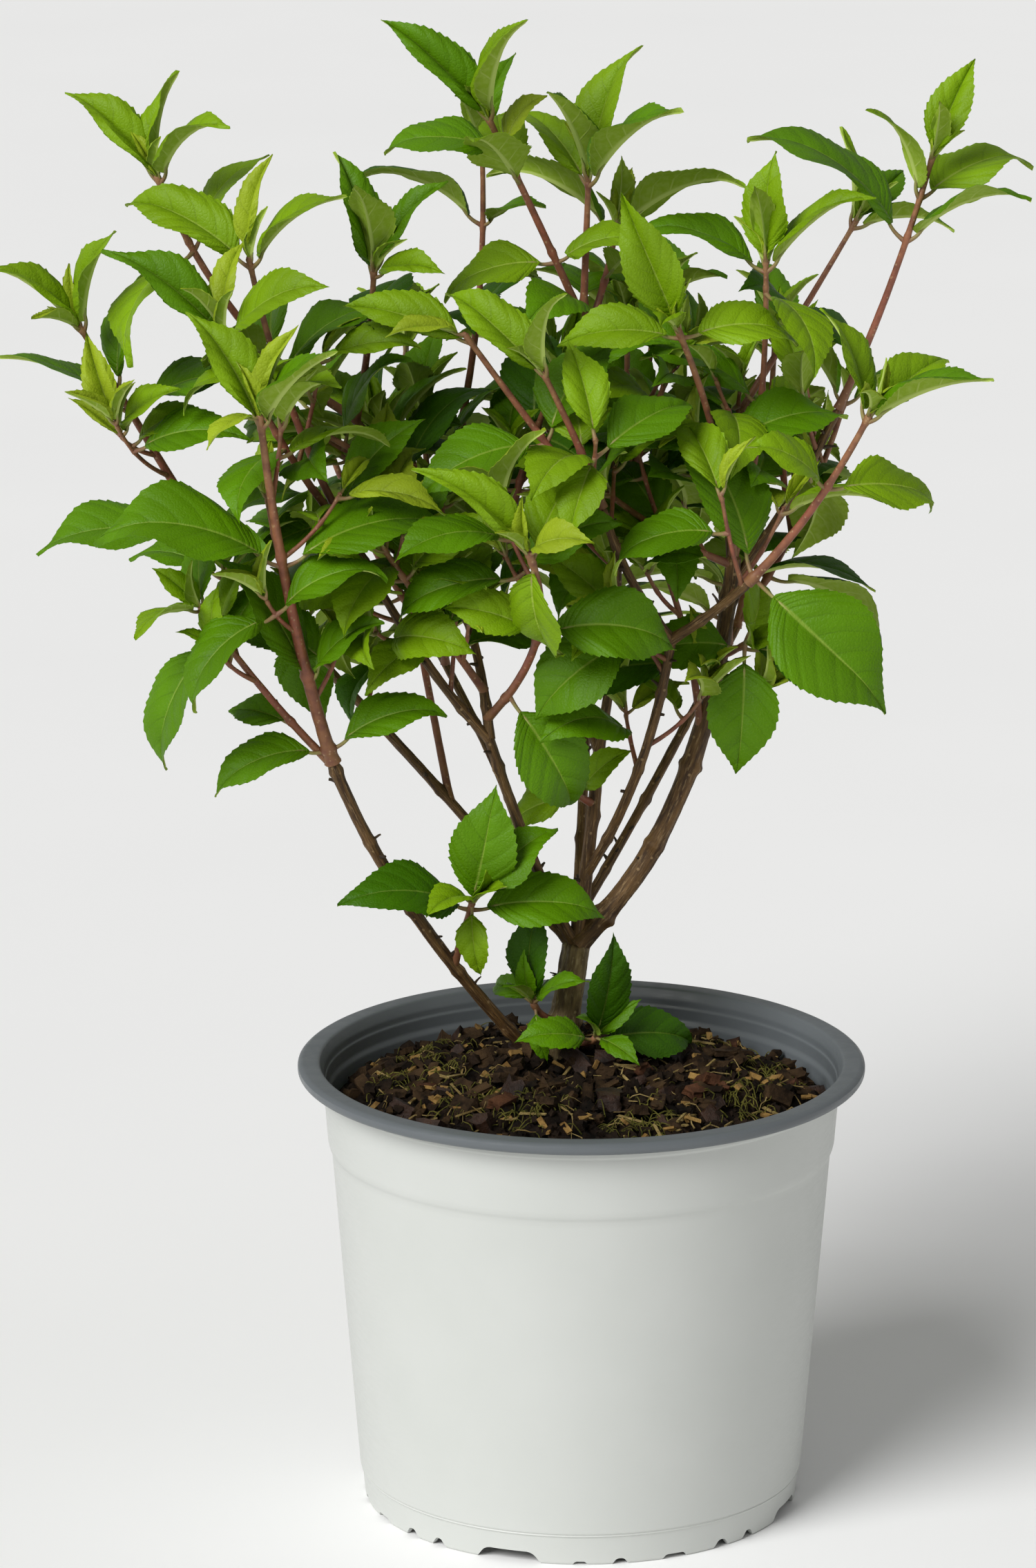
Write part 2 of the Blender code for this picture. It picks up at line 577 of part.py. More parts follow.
def leaf_mesh(leaf, more=0.0, bare_blade=False):
    """Points and faces of one leaf: a three-sided petiole and a blade that is thickest on its midrib."""
    side = leaf["along"].cross(leaf["upper"]).normalized()
    more *= MM
    stalk = (PETIOLE_WIDE / 2 * MM + more, PETIOLE_WIDE * 0.8 * MM + more * 2)
    young = leaf["length"] < YOUNG_LEAF * MM
    sections = []
    if not young and not bare_blade:
        sections.append((leaf["root"], leaf["upper"], stalk[0] * 0.4, stalk[1] * 0.4))
    if not young:
        sections.append((*on_blade(leaf, 0.0), *stalk))
    stations = YOUNG_STATIONS if young else LEAF_STATIONS
    for share, wide in stations:
        half = leaf["width"] / 2 * wide + more
        sections.append((*on_blade(leaf, share), half, LEAF_THICK * MM + more * 2))
    points = []
    for middle, upper, half, thick in sections:
        top = middle + upper * (more + 0.2 * MM)
        points += [top + side * half, top - side * half, top - upper * thick]
    faces = []
    for ring in range(0, len(points) - 3, 3):
        for i in range(3):
            a, b = ring + i, ring + (i + 1) % 3
            faces += [(a, b + 3, b), (a, a + 3, b + 3)]
    last = len(points) - 3
    tip = len(points)
    points.append(on_blade(leaf, 1.0)[0])
    faces += [(last + i, tip, last + (i + 1) % 3) for i in range(3)]
    if young:
        points.append(leaf["root"])
        faces += [(i, (i + 1) % 3, tip + 1) for i in range(3)]
    else:
        faces.append((0, 1, 2))
    return points, faces


def leaf_tree(leaf, more=0.0, bare_blade=False):
    return Tree(*leaf_mesh(leaf, more, bare_blade))


def leaves_of(name, row, others):
    """The leaves of one shoot. One that would touch a limb, or another leaf, turns aside or is skipped."""
    chance = random.Random(name)
    placed = []
    wanted = []
    for share, turn, *sides in row["pairs"]:
        wanted += [(share, turn + 180 * side, *size) for side, size in enumerate(sides) if size]
    last = row["pairs"][-1][1]
    wanted += [(0.975, last + quarter, 9, BUD_LENGTH) for quarter in (90, 270)]
    for number, (share, turn, lean, length) in enumerate(wanted):
        length *= 1 + chance.uniform(-LEAF_SIZE_SPREAD, LEAF_SIZE_SPREAD)
        turn += chance.uniform(-LEAF_TURN_SPREAD, LEAF_TURN_SPREAD)
        lean += chance.uniform(-LEAF_LEAN_SPREAD, LEAF_LEAN_SPREAD)
        for swing, tuck, size in SECOND_TRIES:
            own = random.Random(f"{name} {number}")
            leaf = leaf_frame(row, share, turn + swing, lean + tuck, length * size, own)
            whole = leaf_tree(leaf, CLEAR + 0.1)
            blade = leaf_tree(leaf, CLEAR, True)
            if any(whole.touches(other) for other in others):
                continue
            if any(blade.touches(kept[1]) for kept in placed):
                continue
            placed.append((leaf, leaf_tree(leaf, 0.0, True), leaf_tree(leaf)))
            break
    return placed


def solid_of(name, points, faces):
    mesh = bpy.data.meshes.new(name)
    mesh.from_pydata(points, [], faces)
    mesh.validate()
    return bpy.data.objects.new(name, mesh)


def make_foliage(sleeves, ground):
    """Each mass: its shoot cut clear of the limbs, with its leaves fused on."""
    stems = {}
    for name, row in SHOOTS.items():
        stem = limb_solid(name, row, 6, 0)
        PARTS.objects.link(stem)
        for sleeve, tree in sleeves.values():
            if tree_of(stem).touches(tree):
                boolean(stem, "DIFFERENCE", sleeve)
                keep_largest(stem)
        sleeve = limb_solid(name, row, 6, 0, CLEAR)
        WORK.objects.link(sleeve)
        sleeves[name] = (sleeve, tree_of(sleeve))
        stems[name] = stem
    grown = list(ground)
    for name, row in SHOOTS.items():
        limbs = [tree for other, (_, tree) in sleeves.items() if other != name]
        placed = leaves_of(name, row, limbs + grown)
        grown += [tree for _, _, tree in placed]
        group = bpy.data.collections.new("leaves")
        bpy.context.scene.collection.children.link(group)
        for leaf, _, _ in placed:
            group.objects.link(solid_of("leaf", *leaf_mesh(leaf)))
        boolean(stems[name], "UNION", group=group, solver="MANIFOLD")
        for leaf in list(group.objects):
            bpy.data.objects.remove(leaf)
        bpy.data.collections.remove(group)
        keep_largest(stems[name])
        colour(stems[name], "leaf", 0.5)


PARTS = bpy.data.collections.new("potted_hydrangea")
CUTTERS = bpy.data.collections.new("cutters")
WORK = bpy.data.collections.new("work")
for home in (PARTS, CUTTERS, WORK):
    bpy.context.scene.collection.children.link(home)

set_on_parents()
POT = make_pot()
SOIL = make_soil()
SLEEVES = make_limbs()
make_foliage(SLEEVES, (turned_tree(POT), turned_tree(SOIL)))
cut_notches(POT)
for helper in list(WORK.objects):
    bpy.data.objects.remove(helper)
bpy.data.collections.remove(WORK)
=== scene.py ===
"""A young panicle hydrangea, in leaf and without blooms, in its five-litre nursery pot.

+X is right, +Y is back and +Z is up. The origin lies under the middle of the pot. The tables' sizes
are in millimetres and their angles in degrees.
"""

import json
import math
import random

import bpy
from mathutils import Matrix, Vector, noise
from mathutils.bvhtree import BVHTree

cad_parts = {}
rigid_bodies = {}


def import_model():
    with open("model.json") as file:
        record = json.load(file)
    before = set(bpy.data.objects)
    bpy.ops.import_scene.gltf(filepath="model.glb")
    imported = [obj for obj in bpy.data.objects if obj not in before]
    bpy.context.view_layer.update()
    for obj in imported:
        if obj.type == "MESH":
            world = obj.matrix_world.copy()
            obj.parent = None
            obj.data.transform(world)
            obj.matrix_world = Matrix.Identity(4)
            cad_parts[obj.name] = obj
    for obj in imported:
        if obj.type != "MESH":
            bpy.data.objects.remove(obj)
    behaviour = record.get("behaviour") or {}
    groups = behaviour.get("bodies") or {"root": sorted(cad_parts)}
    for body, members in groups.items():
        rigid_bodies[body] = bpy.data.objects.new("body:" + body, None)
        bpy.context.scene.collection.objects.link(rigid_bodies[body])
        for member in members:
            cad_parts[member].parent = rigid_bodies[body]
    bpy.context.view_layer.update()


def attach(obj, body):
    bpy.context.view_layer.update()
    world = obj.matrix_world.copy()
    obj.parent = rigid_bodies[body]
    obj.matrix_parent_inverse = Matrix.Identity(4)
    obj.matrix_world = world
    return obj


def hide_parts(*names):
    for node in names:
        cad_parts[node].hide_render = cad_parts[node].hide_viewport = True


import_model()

# The pot. Two-coloured polypropylene, white outside and slate grey inside, is drawn into a thin
# tapered pot with a collar above a step, a flat grey lip, and drain notches through its foot.

MM = 0.001
POT_STEPS = 192
POT_HEIGHT = 185.0
POT_FLOOR = 13.0
LIP_UNDER = 180.2
FOOT_R = 88.4
CORNER_ROUND = 0.7
# The wall's section as radius and height: up the inside, over the lip, down the outside, under the foot
WALL = [
    (18.5, 2.0), (22.5, 13.5), (87.8, 13.5), (99.6, 147.4), (100.5, 149.0), (101.9, 170.6),
    (103.2, 172.6), (103.4, 177.4), (103.95, 177.9), (104.2, 180.6), (106.2, POT_HEIGHT - 0.3),
    (107.6, POT_HEIGHT), (113.2, POT_HEIGHT), (115.0, 183.8), (115.0, 181.4), (113.9, LIP_UNDER),
    (105.7, LIP_UNDER), (105.3, 176.0), (104.7, 175.5), (102.9, 152.4), (102.4, 150.2), (101.7, 148.8),
    (101.2, 146.4), (90.5, 13.6), (90.0, 13.3), (90.0, 12.9), (90.3, 12.6), (89.6, 12.1),
    (FOOT_R + 0.1, 0.7), (FOOT_R - 0.5, 0.0), (FOOT_R - 1.8, 0.0), (FOOT_R - 2.2, 0.6), (87.4, 11.5),
    (24.0, 11.5), (20.0, 0.0),
]
# In each quarter of the foot: a notch's angle, its width at the top and its height
NOTCHES = ((0, 4.0, 1.5), (10.5, 3.0, 2.5), (25.5, 8.0, 2.0), (40, 3.0, 3.5), (50, 2.4, 3.5), (71, 20.0, 4.8))
NOTCH_SLOPE = 0.75
CUTTER_DEPTH = 9
CUTTER_BELOW = 4


def linear(code):
    """An sRGB hex colour as linear red, green, blue and one."""
    parts = [int(code[i:i + 2], 16) / 255 for i in (1, 3, 5)]
    return (*[p / 12.92 if p <= 0.04045 else ((p + 0.055) / 1.055) ** 2.4 for p in parts], 1)


def deselect():
    bpy.ops.object.select_all(action="DESELECT")


def pick(shape):
    """Selects one object alone."""
    deselect()
    shape.select_set(True)
    bpy.context.view_layer.objects.active = shape


def rounded(profile, reach):
    """The profile with each inner corner cut to a small round."""
    line = [profile[0]]
    for before, corner, after in zip(profile, profile[1:], profile[2:]):
        corner = Vector(corner)
        ends = []
        for other in (Vector(before), Vector(after)):
            span = (other - corner).length
            ends.append(corner + (other - corner) * min(reach, span * 0.4) / span)
        line += [ends[0], (ends[0] + ends[1] + corner * 2) / 4, ends[1]]
    return line + [profile[-1]]


def turned(name, profile, steps):
    """A form turned on the pot's axis: a disc is extruded and resized along its profile."""
    deselect()
    bpy.ops.mesh.primitive_circle_add(
        vertices=steps, radius=profile[0][0] * MM, fill_type="NGON", location=(0, 0, profile[0][1] * MM)
    )
    shape = bpy.context.object
    shape.name = name
    bpy.ops.object.transform_apply()
    bpy.ops.object.mode_set(mode="EDIT")
    bpy.ops.mesh.select_all(action="SELECT")
    for (near, low), (far, high) in zip(profile, profile[1:]):
        bpy.ops.mesh.extrude_region_move(TRANSFORM_OT_translate={"value": (0, 0, (high - low) * MM)})
        bpy.ops.transform.resize(value=(far / near, far / near, 1), center_override=(0, 0, 0))
    bpy.ops.mesh.select_all(action="DESELECT")
    bpy.ops.mesh.select_non_manifold()
    bpy.ops.mesh.edge_face_add()
    bpy.ops.mesh.select_all(action="SELECT")
    bpy.ops.mesh.normals_make_consistent(inside=False)
    bpy.ops.object.mode_set(mode="OBJECT")
    return shape


def feed(made, key, value):
    """Gives a node's socket a value, or the node or output that feeds it."""
    if isinstance(value, bpy.types.Node):
        value = value.outputs[2 if value.type == "MIX" else 0]
    if isinstance(value, bpy.types.NodeSocket):
        made.id_data.links.new(value, made.inputs[key])
    else:
        made.inputs[key].default_value = value


def add(material, kind, inputs=None, **settings):
    """Adds one node to a material, with its settings, its values and what feeds it."""
    made = material.node_tree.nodes.new("ShaderNode" + kind)
    for key, value in settings.items():
        setattr(made, key, value)
    for key, value in (inputs or {}).items():
        feed(made, key, value)
    return made


def surface(name, base, roughness, **values):
    """A new material, its shader with what is the same all over it, and the places on the object."""
    material = bpy.data.materials.new(name)
    material.use_nodes = True
    shader = material.node_tree.nodes["Principled BSDF"]
    for key, value in dict(Base_Color=linear(base), Roughness=roughness, **values).items():
        shader.inputs[key.replace("_", " ")].default_value = value
    return material, shader, add(material, "TexCoord").outputs["Object"]


def finished(material, shader, colour, relief):
    """Gives a material's shader its colour and its relief."""
    feed(shader, "Base Color", colour)
    feed(shader, "Normal", relief)
    return material


def moulded_plastic(name, base, shade, roughness):
    """Moulded polypropylene: an even, slightly cloudy colour with a soft sheen and a faint orange peel."""
    material, shader, place = surface(name, base, roughness, IOR=1.49)
    cloud = add(material, "TexNoise", {"Vector": place, "Scale": 28.0, "Detail": 4.0})
    colour = add(material, "Mix", {0: cloud, 6: linear(base), 7: linear(shade)}, data_type="RGBA")
    # Scuffs from handling, a few millimetres long, dull the sheen
    streak = add(material, "Mapping", {"Vector": place, "Scale": (1.0, 1.0, 5.0)})
    scuff = add(material, "TexNoise", {"Vector": streak, "Scale": 160.0, "Detail": 3.0})
    dull = {0: scuff, 1: 0.35, 2: 0.75, 3: roughness - 0.05, 4: roughness + 0.12}
    feed(shader, "Roughness", add(material, "MapRange", dull))
    # Orange peel about 1.5 mm across
    peel = add(material, "TexNoise", {"Vector": place, "Scale": 650.0, "Detail": 2.0})
    relief = add(material, "Bump", {"Strength": 0.10, "Distance": 0.0002, "Height": peel})
    return finished(material, shader, colour, relief)


pot = turned("nursery_pot", rounded(WALL[::-1], CORNER_ROUND), POT_STEPS)
for quarter in range(4):
    for angle, width, height in NOTCHES:
        turn = math.radians(quarter * 90 + angle - 90)
        tall = height + CUTTER_BELOW
        spot = Vector((math.cos(turn), math.sin(turn), 0)) * FOOT_R * MM
        # A four-sided cone whose flat top is as wide as the notch, cut off well below the foot
        deselect()
        bpy.ops.mesh.primitive_cone_add(
            vertices=4, radius1=1 + 2 * NOTCH_SLOPE * tall / width, radius2=1, depth=1,
            location=(spot.x, spot.y, (height - CUTTER_BELOW) / 2 * MM), rotation=(0, 0, math.radians(45)),
        )
        cutter = bpy.context.object
        bpy.ops.object.transform_apply(location=False, rotation=True, scale=False)
        cutter.rotation_euler = (0, 0, turn)
        cutter.scale = (CUTTER_DEPTH * MM * math.sqrt(0.5), width * MM * math.sqrt(0.5), tall * MM)
        bpy.ops.object.transform_apply()
        bevel = cutter.modifiers.new("round", "BEVEL")
        bevel.width = min(width * 0.3, height * 0.45) * MM
        bevel.segments = 3
        bpy.ops.object.modifier_apply(modifier="round")
        notch = pot.modifiers.new("notch", "BOOLEAN")
        notch.operation = "DIFFERENCE"
        notch.object = cutter
        pick(pot)
        bpy.ops.object.modifier_apply(modifier="notch")
        bpy.data.objects.remove(cutter)
pot.data.materials.append(moulded_plastic("white_polypropylene", "#CBCDC9", "#C3C6C1", 0.42))
pot.data.materials.append(moulded_plastic("grey_polypropylene", "#64696C", "#5B6063", 0.36))
for face in pot.data.polygons:
    outwards = Vector((face.center.x, face.center.y, 0)).normalized()
    inside = face.normal.dot(outwards) < -0.2 and face.center.z > POT_FLOOR * MM
    if inside or face.center.z > (LIP_UNDER - 0.1) * MM:
        face.material_index = 1
pick(pot)
bpy.ops.object.shade_smooth_by_angle(angle=math.radians(28))
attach(pot, "root")
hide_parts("pot")

# The compost. Damp composted bark with roots in it fills the pot to a few millimetres below the
# lip, heaped a little round the stems. The ground between the chips is near black: the dark fine
# compost with painted shade of the deep gaps between the chips.

GROUND_EDGE_R = 100.6
GROUND_LINE = ((0, 182.0), (46, 181.6), (64, 179.8), (84, 174.8), (GROUND_EDGE_R, 168.2))
GROUND_SUNK = 4.4
# The hollows, lumps and crumbs: how wide, how high and their seed
LUMPS = ((26, 4.4, 0), (9, 3.6, 3), (2.6, 0.9, 7))


def ground(x, y):
    """The height of the compost at this place, in metres, with its hollows and lumps."""
    reach = math.hypot(x, y) / MM
    height = GROUND_LINE[-1][1]
    for (near, top), (far, low) in zip(GROUND_LINE, GROUND_LINE[1:]):
        if near <= reach <= far:
            height = top + (low - top) * (reach - near) / (far - near)
    hollow, lump, crumb = (
        noise.noise(Vector((x, y, seed)) / (wide * MM)) * high for wide, high, seed in LUMPS
    )
    return (height - GROUND_SUNK + (hollow + lump) + crumb) * MM


def compost(name, base, shade, grain, roughness=0.85, sheen=0.2):
    """Damp bark: mottled, with a grain in millimetres, dull, with a wet glint where it is smooth."""
    material, shader, place = surface(name, base, roughness, IOR=1.4, Specular_IOR_Level=sheen)
    patch = add(material, "TexNoise", {"Vector": place, "Scale": 90.0, "Detail": 5.0, "Roughness": 0.65})
    spread = add(material, "MapRange", {0: patch, 1: 0.35, 2: 0.68})
    colour = add(material, "Mix", {0: spread, 6: linear(base), 7: linear(shade)}, data_type="RGBA")
    wet = {0: patch, 1: 0.3, 2: 0.7, 3: roughness, 4: roughness - 0.3}
    feed(shader, "Roughness", add(material, "MapRange", wet))
    threads = {"Vector": place, "Scale": 1000.0 / grain, "Detail": 6.0, "Roughness": 0.7}
    fibre = add(material, "TexNoise", threads)
    relief = add(material, "Bump", {"Strength": 1.0, "Distance": 0.0012, "Height": fibre})
    return finished(material, shader, colour, relief)


walls = [(18.2, 2.4), (22.2, 13.9), (87.3, 13.9), (99.1, 147.4), (100.0, 149.0), (GROUND_EDGE_R, 165.0)]
slope = [(GROUND_EDGE_R - step * 2.4, 166.0 + step * 0.4) for step in range(41)]
soil = turned("compost_ground", walls + slope, 200)
for vert in soil.data.vertices:
    if vert.co.z > 165.5 * MM:
        vert.co.z = ground(vert.co.x, vert.co.y)
# Near black: painted shade of the gaps between the chips, over the fine compost's own dark colour
soil.data.materials.append(compost("compost_with_painted_gap_shade", "#080402", "#18100A", 3.0))
pick(soil)
bpy.ops.object.shade_smooth()
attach(soil, "root")
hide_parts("soil")

# The chips on the compost: flakes and lumps of pine bark, red-brown ones among them, pale slivers of
# straw and wood, and small husks. Each kind is modelled a few times and strewn as one piece.

scatter = random.Random(7)


class Pile:
    """The points, faces, pattern places and finishes of one piece that is joined from many shapes."""

    def __init__(self):
        self.points, self.faces, self.places, self.slots = [], [], [], []

    def take(self, points, faces, places=None, slots=None):
        """Adds a shape. A face has a place for each corner, and its finish's number."""
        start = len(self.points)
        self.points += points
        self.faces += [tuple(start + corner for corner in face) for face in faces]
        self.places += places or [((0.0, 0.0),) * len(face) for face in faces]
        self.slots += slots or [0] * len(faces)

    def piece(self, name, materials, angle=None):
        """Makes the object, flat, or smooth up to the angle given in degrees."""
        mesh = bpy.data.meshes.new(name)
        mesh.from_pydata(self.points, [], self.faces)
        for material in materials:
            mesh.materials.append(material)
        mesh.polygons.foreach_set("material_index", self.slots)
        layer = mesh.uv_layers.new(name="along")
        layer.data.foreach_set("uv", [part for face in self.places for corner in face for part in corner])
        shape = bpy.data.objects.new(name, mesh)
        bpy.context.scene.collection.objects.link(shape)
        pick(shape)
        if angle is not None:
            bpy.ops.object.shade_smooth_by_angle(angle=math.radians(angle))
        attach(shape, "root")
        return shape


def shell(shape):
    """An object's points and faces."""
    points = [vert.co.copy() for vert in shape.data.vertices]
    return points, [tuple(face.vertices) for face in shape.data.polygons]


def flakes(count, first, size, uneven, cuts=1):
    """Torn flakes: cubes cut each way, their corners moved about, then pressed flat."""
    models = []
    for seed in range(first, first + count):
        deselect()
        bpy.ops.mesh.primitive_cube_add(size=1)
        shape = bpy.context.object
        bpy.ops.object.mode_set(mode="EDIT")
        bpy.ops.mesh.select_all(action="SELECT")
        bpy.ops.mesh.subdivide(number_cuts=cuts)
        bpy.ops.transform.vertex_random(offset=uneven, seed=seed)
        bpy.ops.transform.resize(value=[side * MM for side in size], center_override=(0, 0, 0))
        bpy.ops.object.mode_set(mode="OBJECT")
        models.append(shell(shape))
        bpy.data.objects.remove(shape)
    return models


def past(points, edge):
    """Whether any of the points lies further out than this many millimetres."""
    return any(math.hypot(point.x, point.y) > edge * MM for point in points)


def on_ground(edge):
    """A place anywhere on the compost, up to this many millimetres out."""
    turn = scatter.uniform(0, math.tau)
    reach = math.sqrt(scatter.uniform(0, 1)) * edge * MM
    return reach * math.cos(turn), reach * math.sin(turn)


def strew(name, models, count, material, tilt, lift, spread=(0.7, 1.3), angle=20):
    """Lays copies of the models over the compost, each turned and tilted its own way."""
    pile = Pile()
    while count:
        points, faces = scatter.choice(models)
        size = scatter.uniform(*spread)
        x, y = on_ground(GROUND_EDGE_R - 1)
        pose = Matrix.Rotation(scatter.uniform(0, math.tau), 3, "Z")
        roll, pitch = (Matrix.Rotation(scatter.gauss(0, tilt), 3, axis) for axis in "XY")
        spot = Vector((x, y, ground(x, y) + scatter.uniform(*lift) * MM))
        placed = [spot + pose @ (roll @ pitch) @ (point * size) for point in points]
        if not past(placed, GROUND_EDGE_R + 0.3):
            pile.take(placed, faces)
            count -= 1
    pile.piece(name, [material], angle)


crumbs = flakes(8, 0, (4.2, 3.6, 3.0), 0.30)
chips = flakes(8, 10, (9.0, 5.5, 3.6), 0.17, 2)
planks = flakes(4, 15, (15, 5.2, 2.4), 0.12, 2)
lumps = flakes(6, 40, (15, 8.5, 6.5), 0.15, 2)
slivers = flakes(4, 20, (12, 1.2, 0.7), 0.12)
husks = flakes(3, 30, (4.6, 2.0, 1.1), 0.08)
brown_bark = compost("brown_bark", "#180F07", "#4A3722", 2.5)
dark_bark = compost("dark_bark", "#0C0703", "#2A1D12", 2.0)
wet_bark = compost("wet_bark", "#150B05", "#3E2719", 3.0, 0.62, 0.5)
red_bark = compost("red_bark", "#2C1A10", "#64402A", 2.5)
pale_straw = compost("pale_straw", "#5E4A24", "#B09A62", 1.5, 0.7)
tan_husk = compost("tan_husk", "#6B4F28", "#B08C50", 1.5, 0.6)
strew("bark_crumbs", crumbs, 2300, dark_bark, 0.8, (-0.8, 1.8), (0.3, 1.2), 55)
strew("bark_chips", chips, 170, brown_bark, 0.6, (0.0, 2.8), (0.4, 1.25), 35)
strew("bark_lumps", lumps, 34, wet_bark, 0.4, (-1.0, 2.2), (0.5, 1.15), 60)
strew("bark_strips", planks, 36, brown_bark, 0.4, (0.5, 3.6), (0.5, 1.1))
strew("red_bark_chips", chips[:3], 14, red_bark, 0.4, (1.0, 3.6))
strew("straw", slivers, 170, pale_straw, 0.25, (1.4, 4.2), (0.25, 1.0))
strew("husks", husks, 150, tan_husk, 0.5, (1.0, 4.0))

# The fibres on the compost: thin bent straws all over it, and short strands of olive moss, most of
# them in patches where it stays damp.

MOSS_PATCHES = ((-64, 6), (-44, -34), (-18, -52), (62, -26), (78, 12), (50, 46), (-60, 44), (24, -60))
PATCH_SPREAD = 8
STRAND_STEPS = 5


def length_of(line):
    """The length of a line of points."""
    return sum((b - a).length for a, b in zip(line, line[1:]))


def skin(pile, line, sides, size, by_share=False):
    """Wraps a closed skin round a line. size gives the radius at a distance along it and an angle.

    A face's place in its pattern is its angle's share and the distance along, in metres or as a share."""
    scale = 1 / length_of(line) if by_share else 1.0
    last = len(line) - 1
    across = (line[1] - line[0]).orthogonal().normalized()
    points, fars, far = [], [], 0.0
    for number, point in enumerate(line):
        ahead = (line[min(number + 1, last)] - line[max(number - 1, 0)]).normalized()
        across = (across - ahead * across.dot(ahead)).normalized()
        beside = ahead.cross(across)
        far += (point - line[number - 1]).length if number else 0.0
        fars.append(far * scale)
        for step in range(sides):
            angle = math.tau * step / sides
            points.append(point + (across * math.cos(angle) + beside * math.sin(angle)) * size(far, angle))
    faces, places = [], []
    for ring in range(last):
        for step in range(sides):
            a, b = ring * sides + step, ring * sides + (step + 1) % sides
            faces.append((a, b, b + sides, a + sides))
            u, v = step / sides, (step + 1) / sides
            places.append(((u, fars[ring]), (v, fars[ring]), (v, fars[ring + 1]), (u, fars[ring + 1])))
    for ring, way in ((0, -1), (last, 1)):
        centre = len(points)
        points.append(line[ring])
        for step in range(sides):
            a, b = ring * sides + step, ring * sides + (step + 1) % sides
            faces.append((centre, a, b) if way > 0 else (centre, b, a))
            places.append(((step / sides, fars[ring]),) * 3)
    pile.take(points, faces, places)


def strands(name, count, length, thick, material, rise, patches=()):
    """Thin bent fibres that lie over the chips, all over or mostly in patches."""
    pile = Pile()
    while count:
        x, y = on_ground(GROUND_EDGE_R - 4)
        if patches and scatter.random() < 0.85:
            x, y = (scatter.gauss(middle, PATCH_SPREAD) * MM for middle in scatter.choice(patches))
        heading, long = scatter.uniform(0, math.tau), scatter.uniform(*length)
        line = []
        for step in range(STRAND_STEPS + 1):
            lift = 1.0 + rise * math.sin(step * 0.6) + scatter.uniform(0, 0.8)
            line.append(Vector((x, y, ground(x, y) + lift * MM)))
            heading += scatter.gauss(0, 0.35)
            x += math.cos(heading) * long / STRAND_STEPS * MM
            y += math.sin(heading) * long / STRAND_STEPS * MM
        if not past(line, GROUND_EDGE_R - 1):
            whole = length_of(line)
            skin(pile, line, 4, lambda far, angle: thick / 2 * MM * (1.1 - 0.9 * far / whole))
            count -= 1
    pile.piece(name, [material])


strands("straw_fibres", 110, (6, 20), 0.7, compost("straw_fibre", "#6E5A30", "#B29C66", 1.2, 0.7), 2.4)
strands("moss", 620, (3, 10), 0.7, compost("olive_moss", "#3A3C12", "#7A7434", 1.0), 2.6, MOSS_PATCHES)

# The shrub's limbs: the trunk, the left stem and the boughs of old wood. Each is one tapering limb
# on a curve from its foot by its elbow to its tip, with its thickness at both ends. A bough springs
# from another limb, at a share of its length.

STEMS = (
    ("trunk", (-8, 30, 176), (-6, 31, 200), (-2, 32, 225), (11.8, 11.0)),
    ("left_stem", (-20, 34, 176), (-79, 10, 247), (-99.6, -10, 311.6), (4.9, 4.7)),
)
BOUGHS = (
    ("left_middle", "trunk", 0.96, (-20, 22, 256), (-38, 10, 318.4), (4.8, 4.2)),
    ("far_left", "trunk", 0.93, (-56, 62, 283), (-145.6, 50, 379.3), (4.4, 3.6)),
    ("upper_left", "left_middle_bough", 0.98, (-67, 12, 347), (-92.3, 10, 399.7), (3.6, 3.2)),
    ("high_left", "left_middle_bough", 0.98, (-42, 34, 383), (-93.5, 46, 441.4), (3.7, 3.2)),
    ("centre", "trunk", 0.98, (4, 38, 265), (7, 45, 305), (6.0, 4.6)),
    ("back_centre", "centre_bough", 0.97, (-26, 82, 366), (-50, 100, 425.6), (3.7, 3.0)),
    ("top_centre", "centre_bough", 0.97, (24, 60, 388), (0, 58, 479), (4.2, 3.4)),
    ("front", "centre_bough", 0.35, (28, 18, 299), (36, 5, 360.8), (3.8, 3.9)),
    ("front_left", "front_bough", 0.98, (16, -4, 385), (8, -9, 415.8), (3.6, 3.4)),
    ("front_right", "front_bough", 0.98, (52, -4, 371), (65.6, -15, 386.6), (3.9, 3.7)),
    ("right", "trunk", 0.97, (53, 48, 273), (61, 42, 385), (6.4, 4.6)),
    ("high_right", "right_bough", 0.94, (85.5, 52, 404), (103, 55, 442.4), (3.8, 3.4)),
    ("back_right", "right_bough", 0.97, (57, 66, 411), (62.6, 78, 434), (3.4, 3.0)),
    ("back", "trunk", 0.94, (0, 78, 262), (4, 132, 345), (4.4, 3.6)),
    ("back_left", "far_left_bough", 0.16, (-18, 75, 258), (-62, 118, 330), (4.0, 3.3)),
    ("far_right", "back_bough", 0.12, (22, 78, 262), (66, 124, 338), (4.0, 3.3)),
)

# The masses of foliage. Each is one shoot from a bough, with leaf pairs up its length. A pair has
# its share of the shoot's length, its turn round the shoot from the right, and the lean and length
# of its right and its left leaf.

